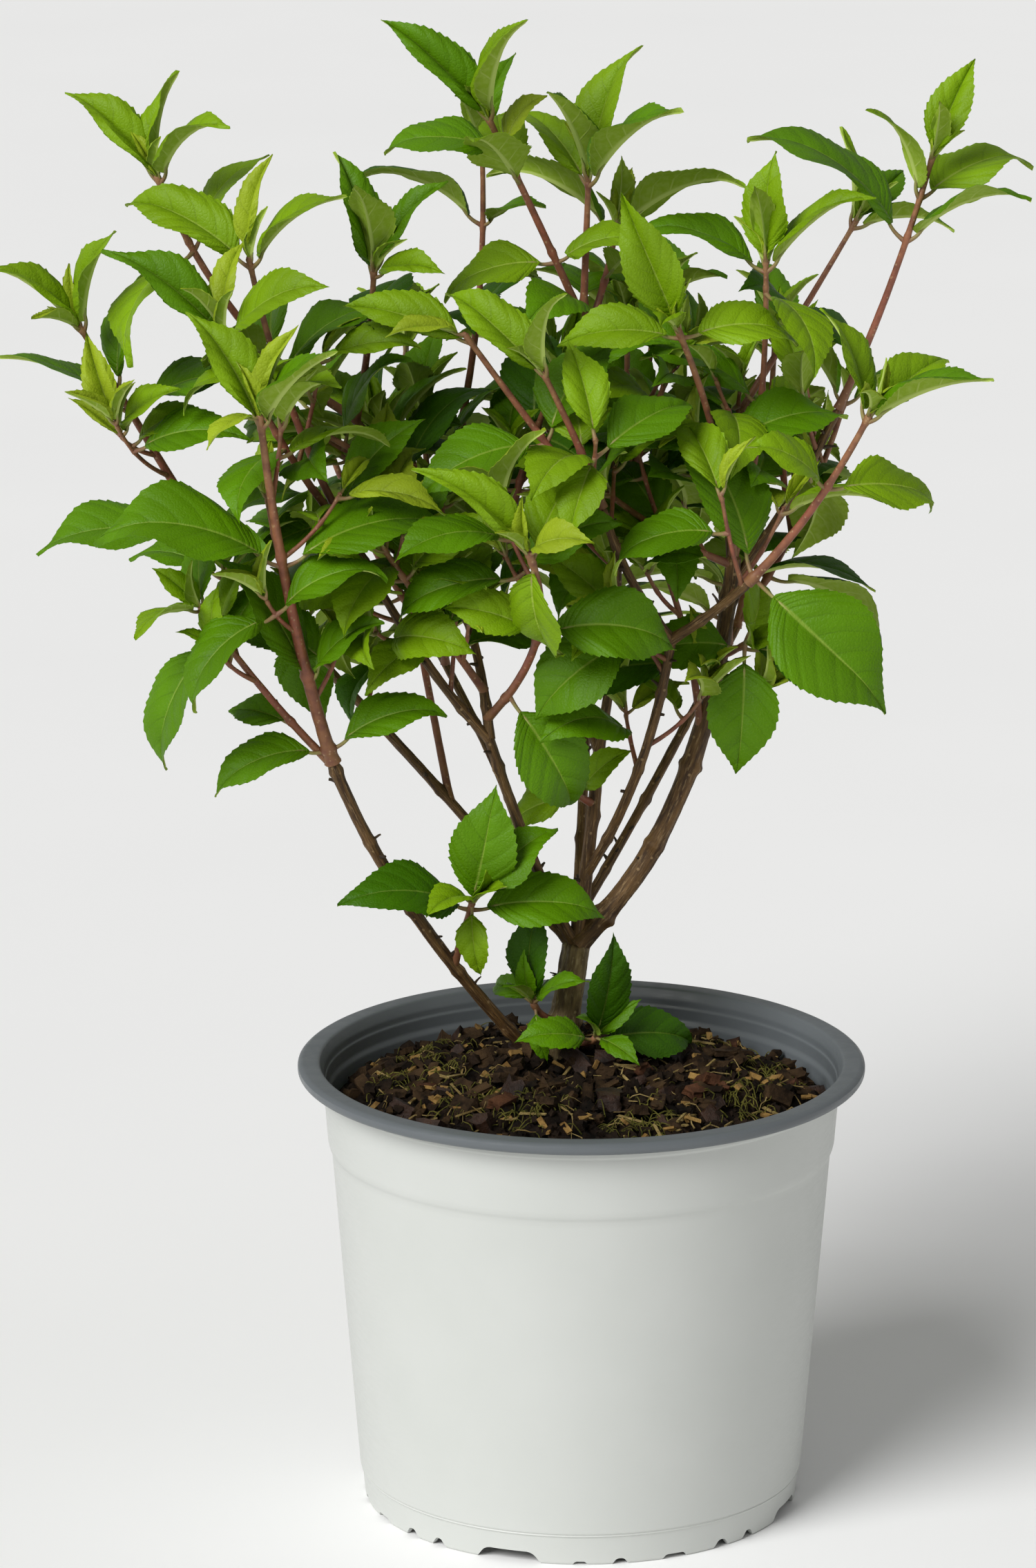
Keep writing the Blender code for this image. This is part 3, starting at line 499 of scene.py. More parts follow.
SLIM, THIN, STOUT = (3.2, 2.0), (3.4, 2.2), (3.4, 2.4)
MASSES = (
    ("left_front", "left_stem", 1.0, (-118, -28, 376), (-126, -45, 461.5), (5.6, 2.7), [
        (0.04, 10, (66, 44), (68, 42)), (0.26, -20, (38, 36), (8, 54)), (0.60, 8, (62, 62), (46, 66)),
        (0.96, -35, (34, 50), (24, 46)), (0.99, 50, (16, 36), (75, 26))]),
    ("left_low", "left_stem", 0.98, (-126, -14, 338), (-152, -22, 379), THIN, [
        (0.30, -40, None, (42, 28)), (0.84, 20, (45, 36), (96, 52)), (0.97, 60, (40, 34), (45, 34))]),
    ("far_left", "far_left_bough", 1.0, (-162, 38, 409.5), (-200.4, 20, 483), (4.2, 2.2), [
        (0.14, 10, (62, 42), (44, 62)), (0.72, 4, (80, 52), (20, 54)), (0.80, 50, (40, 42), None),
        (0.98, 5, (30, 40), (8, 42)), (0.99, 90, (12, 26), (14, 24))]),
    ("high_left", "high_left_bough", 1.0, (-142, 40, 470.4), (-169.8, 30, 542.7), (3.6, 2.4), [
        (0.34, 70, (60, 46), (60, 44)), (0.76, 25, (48, 44), (72, 56)), (0.97, -35, (44, 46), (14, 46)),
        (0.99, 50, (14, 42), (10, 38))]),
    ("left_inner", "high_left_bough", 0.98, (-86, 36, 462), (-83, 24, 506), THIN, [
        (0.55, 90, (50, 42), (26, 36)), (0.95, -40, (52, 32), (20, 44)), (0.98, 45, (18, 46), (16, 44))]),
    ("left_tip", "upper_left_bough", 1.0, (-116.5, 0, 428), (-142, -15, 489), THIN, [
        (0.12, 10, (62, 46), (72, 46)), (0.52, 70, (60, 44), (62, 42)), (0.95, -30, (56, 46), (20, 52)),
        (0.99, 60, (40, 32), (12, 26))]),
    ("left_bud", "upper_left_bough", 0.96, (-119, 10, 446), (-132, 2, 515), THIN, [
        (0.30, 80, (60, 46), (60, 44)), (0.62, 10, (66, 46), (62, 40)), (0.96, -25, (46, 46), (38, 56)),
        (0.99, 70, (6, 42), (7, 36))]),
    ("left_middle", "high_left_bough", 0.14, (-56, 0, 362), (-79.6, -15, 401.5), THIN, [
        (0.42, 40, (55, 40), (60, 34)), (0.80, 0, (62, 42), (60, 46)), (0.97, 60, (40, 38), (35, 32))]),
    ("front", "high_left_bough", 0.06, (-6, -24, 366), (-21.6, -45, 406.5), (3.6, 2.8), [
        (0.15, -50, (102, 54), None), (0.52, 0, (62, 52), (60, 34)), (0.94, 55, (60, 42), (150, 44)),
        (0.98, -30, (50, 32), (28, 52))]),
    ("centre", "front_left_bough", 1.0, (0, -12, 440), (-15.9, -20, 473), THIN, [
        (0.40, 80, (50, 40), (60, 38)), (0.96, -40, (20, 42), (34, 46))]),
    ("centre_left", "front_left_bough", 0.90, (-16, 4, 440), (-47, -12, 487), THIN, [
        (0.45, 20, (55, 42), (60, 46)), (0.95, -40, (30, 44), (22, 50)), (0.99, 45, (22, 36), (30, 30))]),
    ("right_front", "front_right_bough", 1.0, (93, -25, 417), (112.6, -35, 460), (3.8, 2.4), [
        (0.04, -38, (70, 68), (58, 62)), (0.60, 20, (60, 44), (60, 36)), (0.95, -30, (26, 48), (34, 42)),
        (0.98, 55, (45, 42), (40, 28))]),
    ("centre_low", "right_bough", 0.98, (36, 30, 392), (9, 15, 417), THIN, [
        (0.50, 80, (60, 38), (60, 42)), (0.96, -30, (30, 38), (60, 32))]),
    ("right_centre", "right_bough", 1.0, (57, 26, 436), (37, 5, 486), STOUT, [
        (0.45, 10, (66, 46), (60, 56)), (0.95, 5, (92, 46), (52, 42)), (0.98, 100, (10, 54), (30, 30))]),
    ("right_upright", "right_bough", 0.99, (75, 48, 432), (73, 45, 506), SLIM, [
        (0.28, 80, (60, 42), (60, 42)), (0.56, 0, (62, 46), (48, 46)), (0.90, -60, (96, 44), None),
        (0.96, -15, (38, 50), (52, 48)), (0.99, 75, (5, 38), (5, 34))]),
    ("back_slant", "back_right_bough", 1.0, (85, 92, 467), (112, 100, 512.6), SLIM, [
        (0.45, 60, (55, 44), (60, 42)), (0.95, -20, (40, 38), (30, 36)), (0.98, 70, (30, 34), (30, 30))]),
    ("high_right", "high_right_bough", 1.0, (124.3, 53, 489.7), (139.5, 50, 547), THIN, [
        (0.68, -15, (28, 50), (58, 68)), (0.84, 25, (38, 48), (24, 42)), (0.98, 75, (6, 38), (22, 28))]),
    ("top", "top_centre_bough", 1.0, (1, 54, 505), (2, 50, 537), THIN, [
        (0.10, 70, (60, 40), (62, 42)), (0.95, -45, (40, 56), (44, 44)), (0.99, 50, (8, 50), (24, 46))]),
    ("top_left", "top_centre_bough", 0.98, (-14, 48, 512), (-38, 28, 566), STOUT, [
        (0.35, 10, (62, 38), (58, 42)), (0.72, 90, (45, 36), (16, 42)), (0.86, 20, (50, 26), (42, 42)),
        (0.98, -25, (28, 48), (20, 50))]),
    ("top_right", "top_centre_bough", 0.96, (10, 66, 494), (13.4, 76, 513), THIN, [
        (0.50, 90, (60, 38), (60, 34)), (0.95, -15, (46, 54), (52, 54)), (0.99, 75, (5, 27), (5, 25))]),
    ("back_top", "back_centre_bough", 1.0, (-38.4, 102, 485), (-41.4, 95, 545), SLIM, [
        (0.34, 80, (55, 46), (55, 46)), (0.70, -10, (36, 42), (52, 56)), (0.97, 60, (30, 38), (26, 32))]),
    ("hanging", "right_bough", 0.8, (60, 36, 345), (66, 26, 352), THIN, [
        (0.80, 0, (68, 44), (80, 38)), (0.96, 90, (72, 36), (84, 48))]),
    ("low_front", "left_stem", 0.3, (-48, 14, 234), (-44, 4, 250), THIN, [
        (0.86, 0, (60, 48), (60, 54)), (0.95, 90, (20, 46), (112, 25)), (1.0, 45, (28, 38), (42, 28))]),
    ("soil_left", "trunk", 0.3, (-17, 24, 194), (-20, 20, 203), THIN, [
        (0.85, 60, (18, 38), (100, 24)), (0.96, -20, (50, 27), (66, 29))]),
    ("soil_front", "trunk", 0.2, (3, 16, 183), (6, 11, 191), THIN, [
        (0.85, 10, (60, 40), (66, 32)), (0.97, 120, (8, 44), (75, 26))]),
    ("fork", "centre_bough", 0.7, (0, 36, 284), (-3, 32, 288), THIN, [(0.80, 10, (62, 27), (72, 31))]),
)
# The plainer masses inside the crown and at its back have the share and the turn of their first
# pair and how many pairs there are. The top pair is at the same share on each.
TOP_PAIR = 0.95
PLAIN_MASSES = (
    ("inner_left", "far_left_bough", 0.42, (-66, 74, 335), (-82, 58, 432), 0.45, 20, 3),
    ("inner_middle", "high_left_bough", 0.55, (-74, 34, 424), (-108, 24, 440), 0.4, 30, 2),
    ("inner_centre", "back_centre_bough", 0.62, (-28, 68, 412), (-8, 44, 462), 0.35, 10, 3),
    ("inner_right", "top_centre_bough", 0.56, (22, 56, 420), (34, 46, 458), 0.4, 20, 2),
    ("inner_low", "right_bough", 0.62, (46, 34, 348), (30, 22, 392), 0.4, 10, 2),
    ("back_a", "back_bough", 1.0, (0, 156, 400), (-12, 168, 440), 0.15, 0, 3),
    ("back_b", "back_bough", 0.98, (26, 150, 410), (30, 148, 466), 0.3, 90, 3),
    ("back_c", "back_bough", 0.94, (20, 118, 395), (18, 112, 470), 0.3, 0, 3),
    ("back_left_a", "back_left_bough", 1.0, (-96, 136, 372), (-112, 140, 428), 0.2, 0, 3),
    ("back_left_b", "back_left_bough", 0.98, (-72, 146, 384), (-74, 156, 450), 0.25, 90, 3),
    ("back_left_c", "back_left_bough", 0.94, (-62, 104, 384), (-66, 96, 432), 0.3, 0, 2),
    ("back_right_a", "far_right_bough", 1.0, (96, 140, 380), (110, 146, 430), 0.2, 0, 3),
    ("back_right_b", "far_right_bough", 0.98, (78, 146, 392), (80, 154, 456), 0.25, 90, 3),
    ("back_right_c", "far_right_bough", 0.94, (62, 112, 372), (58, 108, 420), 0.3, 0, 2),
)


def regular(first, last, count, turn, leaf=(52, 42), lean=(68, 40)):
    """Leaf pairs at even steps, each a quarter turn round from the last, shorter and steeper upwards."""
    pairs = []
    for node in range(count):
        height = node / (count - 1)
        angle = lean[0] + (lean[1] - lean[0]) * height
        length = leaf[0] + (leaf[1] - leaf[0]) * height
        share = first + (last - first) * height
        pairs.append((share, turn + 90 * node, (angle, length), (angle, length)))
    pairs.append((0.99, turn + 90 * count, (20, leaf[1] * 0.6), (20, leaf[1] * 0.6)))
    return pairs


def limb(foot, elbow, tip, thick, parent=None, pairs=()):
    """One limb's row, its places in metres."""
    elbow, tip = Vector(elbow) * MM, Vector(tip) * MM
    return dict(foot=foot, elbow=elbow, tip=tip, thick=thick, parent=parent, pairs=pairs)


def bezier(row, share):
    """The point on a limb's curve at this share of it."""
    foot, elbow, tip = row["foot"], row["elbow"], row["tip"]
    return foot * (1 - share) ** 2 + elbow * 2 * share * (1 - share) + tip * share ** 2


def direction(row, share):
    step = 0.02
    return (bezier(row, min(share + step, 1)) - bezier(row, max(share - step, 0))).normalized()


def radius(row, share):
    """Half the limb's thickness in metres."""
    first, last = row["thick"]
    return (first + (last - first) * share) / 2 * MM


LIMBS, SHOOTS = {}, {}
for name, foot, elbow, tip, thick in STEMS:
    LIMBS[name] = limb(Vector(foot) * MM, elbow, tip, thick)
for name, parent, share, elbow, tip, thick in BOUGHS:
    LIMBS[name + "_bough"] = limb(bezier(LIMBS[parent], share), elbow, tip, thick, parent)
for name, parent, share, elbow, tip, thick, pairs in MASSES:
    SHOOTS["leaves_" + name] = limb(bezier(LIMBS[parent], share), elbow, tip, thick, parent, pairs)
for name, parent, share, elbow, tip, first, turn, count in PLAIN_MASSES:
    pairs = regular(first, TOP_PAIR, count, turn)
    SHOOTS["leaves_" + name] = limb(bezier(LIMBS[parent], share), elbow, tip, THIN, parent, pairs)

# The old wood: hard brown stems with thin, finely furrowed grey-brown bark that flakes in strips,
# swollen at the old leaf nodes and where a bough leaves another, and cut back at their tips.

FLARE = 0.3
FLARE_REACH = 0.28
NODE_STEP = 36.0
FOOT_BELOW = 8.0
STOUTER = {"right_bough": 1.35}


def along_curve(row, step):
    """Points on a limb's curve about this many millimetres apart."""
    count = max(6, round(length_of([row["foot"], row["elbow"], row["tip"]]) / (step * MM)))
    return [bezier(row, number / count) for number in range(count + 1)]


def bark_size(row, name, number, line):
    """The radius of an old limb with its flare, collar, nodes, furrows and cut tip."""
    whole = length_of(line)
    first_node = random.Random(name).uniform(12, 26)

    def size(far, angle):
        base = radius(row, far / whole) * STOUTER.get(name, 1.0)
        if name == "trunk":
            base *= 1 + FLARE * math.exp(-far / (whole * FLARE_REACH))
        collar = 0.32 * math.exp(-far / (5 * MM)) if row["parent"] else 0.25 * math.exp(-far / (6 * MM))
        node = 0.0
        for count in range(6):
            gap = far / MM - first_node - count * NODE_STEP
            facing = 0.3 + 0.7 * math.cos(angle - count * math.pi / 2) ** 2
            node += (0.30 * math.exp(-(gap / 1.7) ** 2) + 0.10 * math.exp(-(gap / 4) ** 2)) * facing
        turned_to = Vector((math.cos(angle), math.sin(angle), 0))
        offset = Vector((number * 5, 0, far / (34 * MM)))
        sway = noise.noise(turned_to * 0.8 + offset) * 0.30
        furrow = noise.noise(turned_to * 3.2 + offset) * 0.30
        furrow += noise.noise(turned_to * 6.5 + offset * 2.2) * 0.16
        flaking = noise.noise(turned_to * 5 + Vector((number, 0, far / (3.0 * MM)))) * 0.12
        cut = min(1.0, max(0.0, (whole - far) / (1.6 * MM))) ** 0.5
        relief = (sway + furrow + flaking) * MM * (base / (2.6 * MM))
        return max(0.25 * MM, (base * (1 + collar + node) + relief) * (0.35 + 0.65 * cut))

    return size


def pattern(material):
    """A point's share of the way round a limb or across a leaf, and how far along it is."""
    return add(material, "SeparateXYZ", {"Vector": add(material, "UVMap", uv_map="along")}).outputs[:2]


def bark(name, base, shade, streak):
    """Old bark: grey-brown, streaked along the stem in paler and darker grain, with a faint sheen."""
    material, shader, place = surface(name, base, 0.6, IOR=1.45)
    around, along = pattern(material)
    # The grain is drawn out along the stem, a new one every 30 mm
    turn = add(material, "Math", {0: around, 1: math.tau}, operation="MULTIPLY")
    grain = add(material, "CombineXYZ", {
        0: add(material, "Math", {0: turn}, operation="COSINE"),
        1: add(material, "Math", {0: turn}, operation="SINE"),
        2: add(material, "Math", {0: along, 1: 32.0}, operation="MULTIPLY"),
    })
    streaks = add(material, "TexNoise", {"Vector": grain, "Scale": 4.6, "Detail": 7.0, "Roughness": 0.7})
    patch = add(material, "TexNoise", {"Vector": grain, "Scale": 1.9, "Detail": 5.0, "Roughness": 0.6})
    spread = add(material, "MapRange", {0: patch, 1: 0.36, 2: 0.62})
    mixed = add(material, "Mix", {0: spread, 6: linear(base), 7: linear(shade)}, data_type="RGBA")
    pale = add(material, "MapRange", {0: streaks, 1: 0.53, 2: 0.70, 3: 0.0, 4: 0.8})
    streaked = add(material, "Mix", {0: pale, 6: mixed, 7: linear(streak)}, data_type="RGBA")
    # Lenticels: small pale corky dots 5 mm apart
    dots = add(material, "TexVoronoi", {"Vector": place, "Scale": 210.0, "Randomness": 1.0})
    dot = add(material, "MapRange", {0: dots, 1: 0.17, 2: 0.10, 3: 0.0, 4: 0.55})
    dotted = add(material, "Mix", {0: dot, 6: streaked, 7: linear(streak)}, data_type="RGBA")
    relief = add(material, "Bump", {"Strength": 0.9, "Distance": 0.0005, "Height": streaks})
    return finished(material, shader, dotted, relief)


old_bark = bark("old_bark", "#74552C", "#3C260D", "#AE9064")
trunk_bark = bark("trunk_bark", "#8A764C", "#503E22", "#BAA87E")
for number, (name, row) in enumerate(LIMBS.items()):
    step, sides, material = (1.0, 40, trunk_bark) if name == "trunk" else (1.3, 24, old_bark)
    pile = Pile()
    line = along_curve(row, step)
    if row["parent"] is None:
        line.insert(0, line[0] - direction(row, 0) * FOOT_BELOW * MM)
    skin(pile, line, sides, bark_size(row, name, number, line))
    wood = pile.piece("wood_" + name, [material], 50)
    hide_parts(name)

# The spurs: short dead stubs and dry buds left on the old wood, dark and rough, about one to every
# 26 mm of it above the compost.

SPUR_STEP = 26
SPUR_LOWEST = 0.19
SPUR_STEPS = 6

dry = Pile()
for name, row in LIMBS.items():
    chance = random.Random(name + " spurs")
    for count in range(round((row["tip"] - row["foot"]).length / (SPUR_STEP * MM)) + 1):
        share, turn = chance.uniform(0.12, 0.95), chance.uniform(0, math.tau)
        foot, axis = bezier(row, share), direction(row, share)
        if foot.z < SPUR_LOWEST:
            continue
        across = axis.orthogonal().normalized()
        out = across * math.cos(turn) + axis.cross(across) * math.sin(turn)
        long, thick = chance.uniform(1.0, 4.5) * MM, chance.uniform(0.7, 1.2) * MM
        tip = foot + out * (radius(row, share) + long) + axis * long * chance.uniform(0.3, 1.1)
        line = []
        for step in range(SPUR_STEPS + 1):
            bow = axis * math.sin(step / SPUR_STEPS * math.pi) * 0.4 * MM
            line.append(foot.lerp(tip, step / SPUR_STEPS) + bow)

        def knobbly(far, angle, thick=thick, count=count):
            return thick * (1 - far / (12 * MM)) * (1 + 0.25 * noise.noise(Vector((angle, far / MM, count))))

        skin(dry, line, 8, knobbly)
spurs = dry.piece("dry_spurs", [bark("dry_wood", "#4A3824", "#241809", "#7E6A48")], 60)

# The young shoots: this year's growth, round and smooth, brown at the foot, dull red further up and
# light brown at the tip, with a swollen ring where each pair of leaves stands.


def young_bark(name, foot, middle, tip, dark, pale):
    """A young shoot's skin turning to bark: coloured by its age, with fine down and pale dots."""
    material, shader, place = surface(name, middle, 0.5, IOR=1.45)
    ages = add(material, "ValToRGB", {"Fac": pattern(material)[1]})
    ages.color_ramp.elements[0].color = linear(foot)
    ages.color_ramp.elements[1].color = linear(tip)
    ages.color_ramp.elements.new(0.45).color = linear(middle)
    mottle = add(material, "TexNoise", {"Vector": place, "Scale": 220.0, "Detail": 5.0})
    spread = add(material, "MapRange", {0: mottle, 1: 0.4, 2: 0.7})
    darker = add(material, "Mix", {0: spread, 6: ages, 7: linear(dark)}, data_type="RGBA")
    dots = add(material, "TexVoronoi", {"Vector": place, "Scale": 420.0})
    dot = add(material, "MapRange", {0: dots, 1: 0.24, 2: 0.12, 3: 0.0, 4: 0.7})
    dotted = add(material, "Mix", {0: dot, 6: darker, 7: linear(pale)}, data_type="RGBA")
    down = add(material, "TexNoise", {"Vector": place, "Scale": 1800.0, "Detail": 3.0})
    relief = add(material, "Bump", {"Strength": 0.5, "Distance": 0.0003, "Height": down})
    return finished(material, shader, dotted, relief)


def shoot_size(row, line, number):
    """The radius of a young shoot with its swollen foot and joints and its round end."""
    whole = length_of(line)
    joints = sorted({pair[0] for pair in row["pairs"]})

    def size(far, angle):
        share = far / whole
        swelling = sum(0.3 * math.exp(-((share - joint) * whole / (1.5 * MM)) ** 2) for joint in joints)
        foot = 0.3 * math.exp(-far / (3 * MM))
        spot = Vector((math.cos(angle) * 2, math.sin(angle) * 2 + number, far / (5 * MM)))
        rough = noise.noise(spot) * 0.06
        end = max(0.0, min(1.0, (whole - far) / (1.2 * MM))) ** 0.5
        return radius(row, share) * (1 + swelling + foot + rough) * (0.3 + 0.7 * end)

    return size


shoots = Pile()
for number, row in enumerate(SHOOTS.values()):
    line = along_curve(row, 1.5)
    skin(shoots, line, 12, shoot_size(row, line, number), by_share=True)

# Where the leaves stand. Each is set on its shoot by the plant's own rule: in pairs, each a
# quarter turn round from the last, its petiole twisted so that its upper side faces the light. One
# that would touch a limb or another leaf turns aside, tucks in or stays smaller.

UP = Vector((0, 0, 1))
CROWN_MIDDLE = Vector((0.0, 0.07, 0.33))
CLEAR = 0.3
LEAF_WIDTH = 0.58
LEAF_THICK = 0.9
LEAF_STATIONS = ((0.24, 0.93), (0.62, 0.82))
YOUNG_STATIONS = ((0.42, 1.0),)
PETIOLE_SHARE = 0.17
PETIOLE_WIDE = 1.4
YOUNG_LEAF = 26.0
BUD_LENGTH = 14.0
LEAF_BEND = (22, 38)
LEAF_SIZE_SPREAD = 0.05
LEAF_TURN_SPREAD = 7.0
LEAF_LEAN_SPREAD = 5.0
# How far a leaf turns aside and leans out, and the share of its length, in the order they are tried
SECOND_TRIES = (
    (0, 0, 1), (12, 0, 1), (-12, 0, 1), (0, -10, 1), (0, 12, 1),
    (24, 8, 0.9), (-24, 8, 0.9), (0, -24, 0.9), (0, 0, 0.75), (35, 15, 0.7), (-35, 15, 0.7),
)


class Tree:
    """A search tree of a closed shape, with the box that holds it."""

    def __init__(self, points, faces):
        self.points, self.faces = points, faces
        self.tree = BVHTree.FromPolygons(points, faces)
        self.low = [min(point[axis] for point in points) for axis in range(3)]
        self.high = [max(point[axis] for point in points) for axis in range(3)]

    def touches(self, other):
        for axis in range(3):
            if self.low[axis] > other.high[axis] or other.low[axis] > self.high[axis]:
                return False
        return bool(self.tree.overlap(other.tree))


def sleeve(row, name, steps, sides):
    """A plain limb, larger all round by the gap that leaves keep from it."""
    line = [bezier(row, step / steps) for step in range(steps + 1)]
    reach = (line[-1] - line[0]).length
    pile = Pile()

    def size(far, angle):
        flare = FLARE * math.exp(-far / (reach * FLARE_REACH)) if name == "trunk" else 0.0
        return (radius(row, min(1.0, far / reach)) + CLEAR * MM) * (1 + flare)

    skin(pile, line, sides, size)
    return Tree(pile.points, pile.faces)


def spread_out(row, share, turn, lean):
    """A shoot's direction here, the way out from it at this turn, and the way at this lean between."""
    axis = direction(row, share)
    right = (Vector((1, 0, 0)) - axis * axis.x).normalized()
    out = right * math.cos(math.radians(turn)) + axis.cross(right) * math.sin(math.radians(turn))
    return axis, out, axis * math.cos(math.radians(lean)) + out * math.sin(math.radians(lean))


def leaf_frame(row, share, turn, lean, length, chance):
    """One leaf's root, petiole direction, upper side and lengths."""
    axis, out, along = spread_out(row, share, turn, lean)
    lean = math.radians(lean)
    upper = axis * math.sin(lean) - out * math.cos(lean)
    root = bezier(row, share)
    outward = Vector((root.x - CROWN_MIDDLE.x, root.y - CROWN_MIDDLE.y, 0)).normalized()
    turning = 0.65 * min(1.0, 1.6 * math.sin(lean) ** 2)
    upper = upper * (1 - turning) + (UP * 0.7 + outward * 0.7) * turning
    upper = (upper - along * upper.dot(along)).normalized()
    bend = math.radians(LEAF_BEND[0] + LEAF_BEND[1] * math.sin(lean) + chance.uniform(-8, 14))
    petiole = length * PETIOLE_SHARE * (0.7 + 0.5 * math.sin(lean))
    width = length * LEAF_WIDTH * chance.uniform(0.93, 1.07)
    return dict(
        root=root, along=along, upper=upper, length=length * MM, width=width * MM,
        petiole=petiole * MM + radius(row, share), bend=bend, share=share, lean=lean,
    )


def on_blade(leaf, share):
    """The middle line's point on a blade at this share of its length, and its upper side there."""
    angle = leaf["bend"] * share
    reach = leaf["length"] * share
    base = leaf["root"] + leaf["along"] * leaf["petiole"]
    ahead = math.sin(angle) / angle if angle > 1e-4 else 1.0
    aside = (1 - math.cos(angle)) / angle if angle > 1e-4 else 0.0
    point = base + leaf["along"] * reach * ahead - leaf["upper"] * reach * aside
    return point, leaf["upper"] * math.cos(angle) + leaf["along"] * math.sin(angle)


def leaf_tree(leaf, more=0.0, bare_blade=False):
    """A plain leaf to test for touches: a three-sided petiole and a blade thickest on its midrib."""
    side = leaf["along"].cross(leaf["upper"]).normalized()
    more *= MM
    stalk = (PETIOLE_WIDE / 2 * MM + more, PETIOLE_WIDE * 0.8 * MM + more * 2)
    young = leaf["length"] < YOUNG_LEAF * MM
    sections = []
    if not young and not bare_blade:
        sections.append((leaf["root"], leaf["upper"], stalk[0] * 0.4, stalk[1] * 0.4))
    if not young:
        sections.append((*on_blade(leaf, 0.0), *stalk))
    for share, wide in YOUNG_STATIONS if young else LEAF_STATIONS:
        sections.append((*on_blade(leaf, share), leaf["width"] / 2 * wide + more, LEAF_THICK * MM + more * 2))
    points, faces = [], []
    for middle, upper, half, thick in sections:
        top = middle + upper * (more + 0.2 * MM)
        points += [top + side * half, top - side * half, top - upper * thick]
    for ring in range(0, len(points) - 3, 3):
        for i in range(3):
            a, b = ring + i, ring + (i + 1) % 3
            faces += [(a, b + 3, b), (a, a + 3, b + 3)]
    last, tip = len(points) - 3, len(points)
    points.append(on_blade(leaf, 1.0)[0])
    faces += [(last + i, tip, last + (i + 1) % 3) for i in range(3)]
    if young:
        points.append(leaf["root"])
        faces += [(i, (i + 1) % 3, tip + 1) for i in range(3)]
    else:
        faces.append((0, 1, 2))
    return Tree(points, faces)


def leaves_of(name, row, others):
    """The leaves of one shoot, each with the trees of its bare blade and of all of it."""
    chance = random.Random(name)
    placed, wanted = [], []
    for share, turn, *sides in row["pairs"]:
        wanted += [(share, turn + 180 * side, *size) for side, size in enumerate(sides) if size]
    last = row["pairs"][-1][1]
    wanted += [(0.975, last + quarter, 9, BUD_LENGTH) for quarter in (90, 270)]
    for number, (share, turn, lean, length) in enumerate(wanted):
        length *= 1 + chance.uniform(-LEAF_SIZE_SPREAD, LEAF_SIZE_SPREAD)
        turn += chance.uniform(-LEAF_TURN_SPREAD, LEAF_TURN_SPREAD)
        lean += chance.uniform(-LEAF_LEAN_SPREAD, LEAF_LEAN_SPREAD)
        for swing, tuck, size in SECOND_TRIES:
            own = random.Random(f"{name} {number}")
            leaf = leaf_frame(row, share, turn + swing, lean + tuck, length * size, own)
            leaf["shoot"] = name
            whole = leaf_tree(leaf, CLEAR + 0.1)
            bare = leaf_tree(leaf, CLEAR, True)
            if any(whole.touches(other) for other in others):
                continue
            if any(bare.touches(kept) for _, kept, _ in placed):
                continue
            placed.append((leaf, leaf_tree(leaf, 0.0, True), leaf_tree(leaf)))
            break
    return placed


sleeves = {name: sleeve(row, name, 10, 6) for name, row in LIMBS.items()}
sleeves.update({name: sleeve(row, name, 6, 4) for name, row in SHOOTS.items()})
grown = [Tree(*shell(pot)), Tree(*shell(soil))]
leaves = []
for name, row in SHOOTS.items():
    placed = leaves_of(name, row, [tree for other, tree in sleeves.items() if other != name] + grown)
    grown += [tree for _, _, tree in placed]
    leaves += [leaf for leaf, _, _ in placed]

# Two broad leaves low on the right hang flat, their faces to the front: the shoot and the leaf's
# number on it, the way its blade runs, its upper side, its bend in degrees and its length's share
HUNG_FLAT = (
    ("leaves_right_front", 0, (0.72, -0.27, -0.64), (0.10, -0.92, 0.38), 22, 0.92),
    ("leaves_hanging", 3, (-0.02, -0.34, -0.94), (0.06, -0.93, 0.34), 24, 0.90),
)
for name, number, heading, upper, bend, share in HUNG_FLAT:
    leaf = [leaf for leaf in leaves if leaf["shoot"] == name][number]
    leaf["along"] = Vector(heading).normalized()
    leaf["upper"] = (Vector(upper) - leaf["along"] * leaf["along"].dot(Vector(upper))).normalized()
    leaf["bend"] = math.radians(bend)
    leaf["length"] *= share

# The finer twigs: short side twigs, each with a pair or two of leaves by the same rule, fill the
# crown between the shoots. None leaves the space near the shoots' own leaves, so the gaps stay open.

TWIG_HEIGHTS = (0.30, 0.43)
TWIG_EVERY = 7.5
TWIG_LENGTH = (22, 46)
TWIG_THICK = (2.0, 1.5)
TWIG_FEWEST_LEAVES = 3
CROWN_REACH = 15.0

outer = Pile()
for tree in grown[2:]:
    outer.take(tree.points, tree.faces)
crown = BVHTree.FromPolygons(outer.points, outer.faces)


def near_crown(point):
    return crown.find_nearest(point, CROWN_REACH * MM)[0] is not None


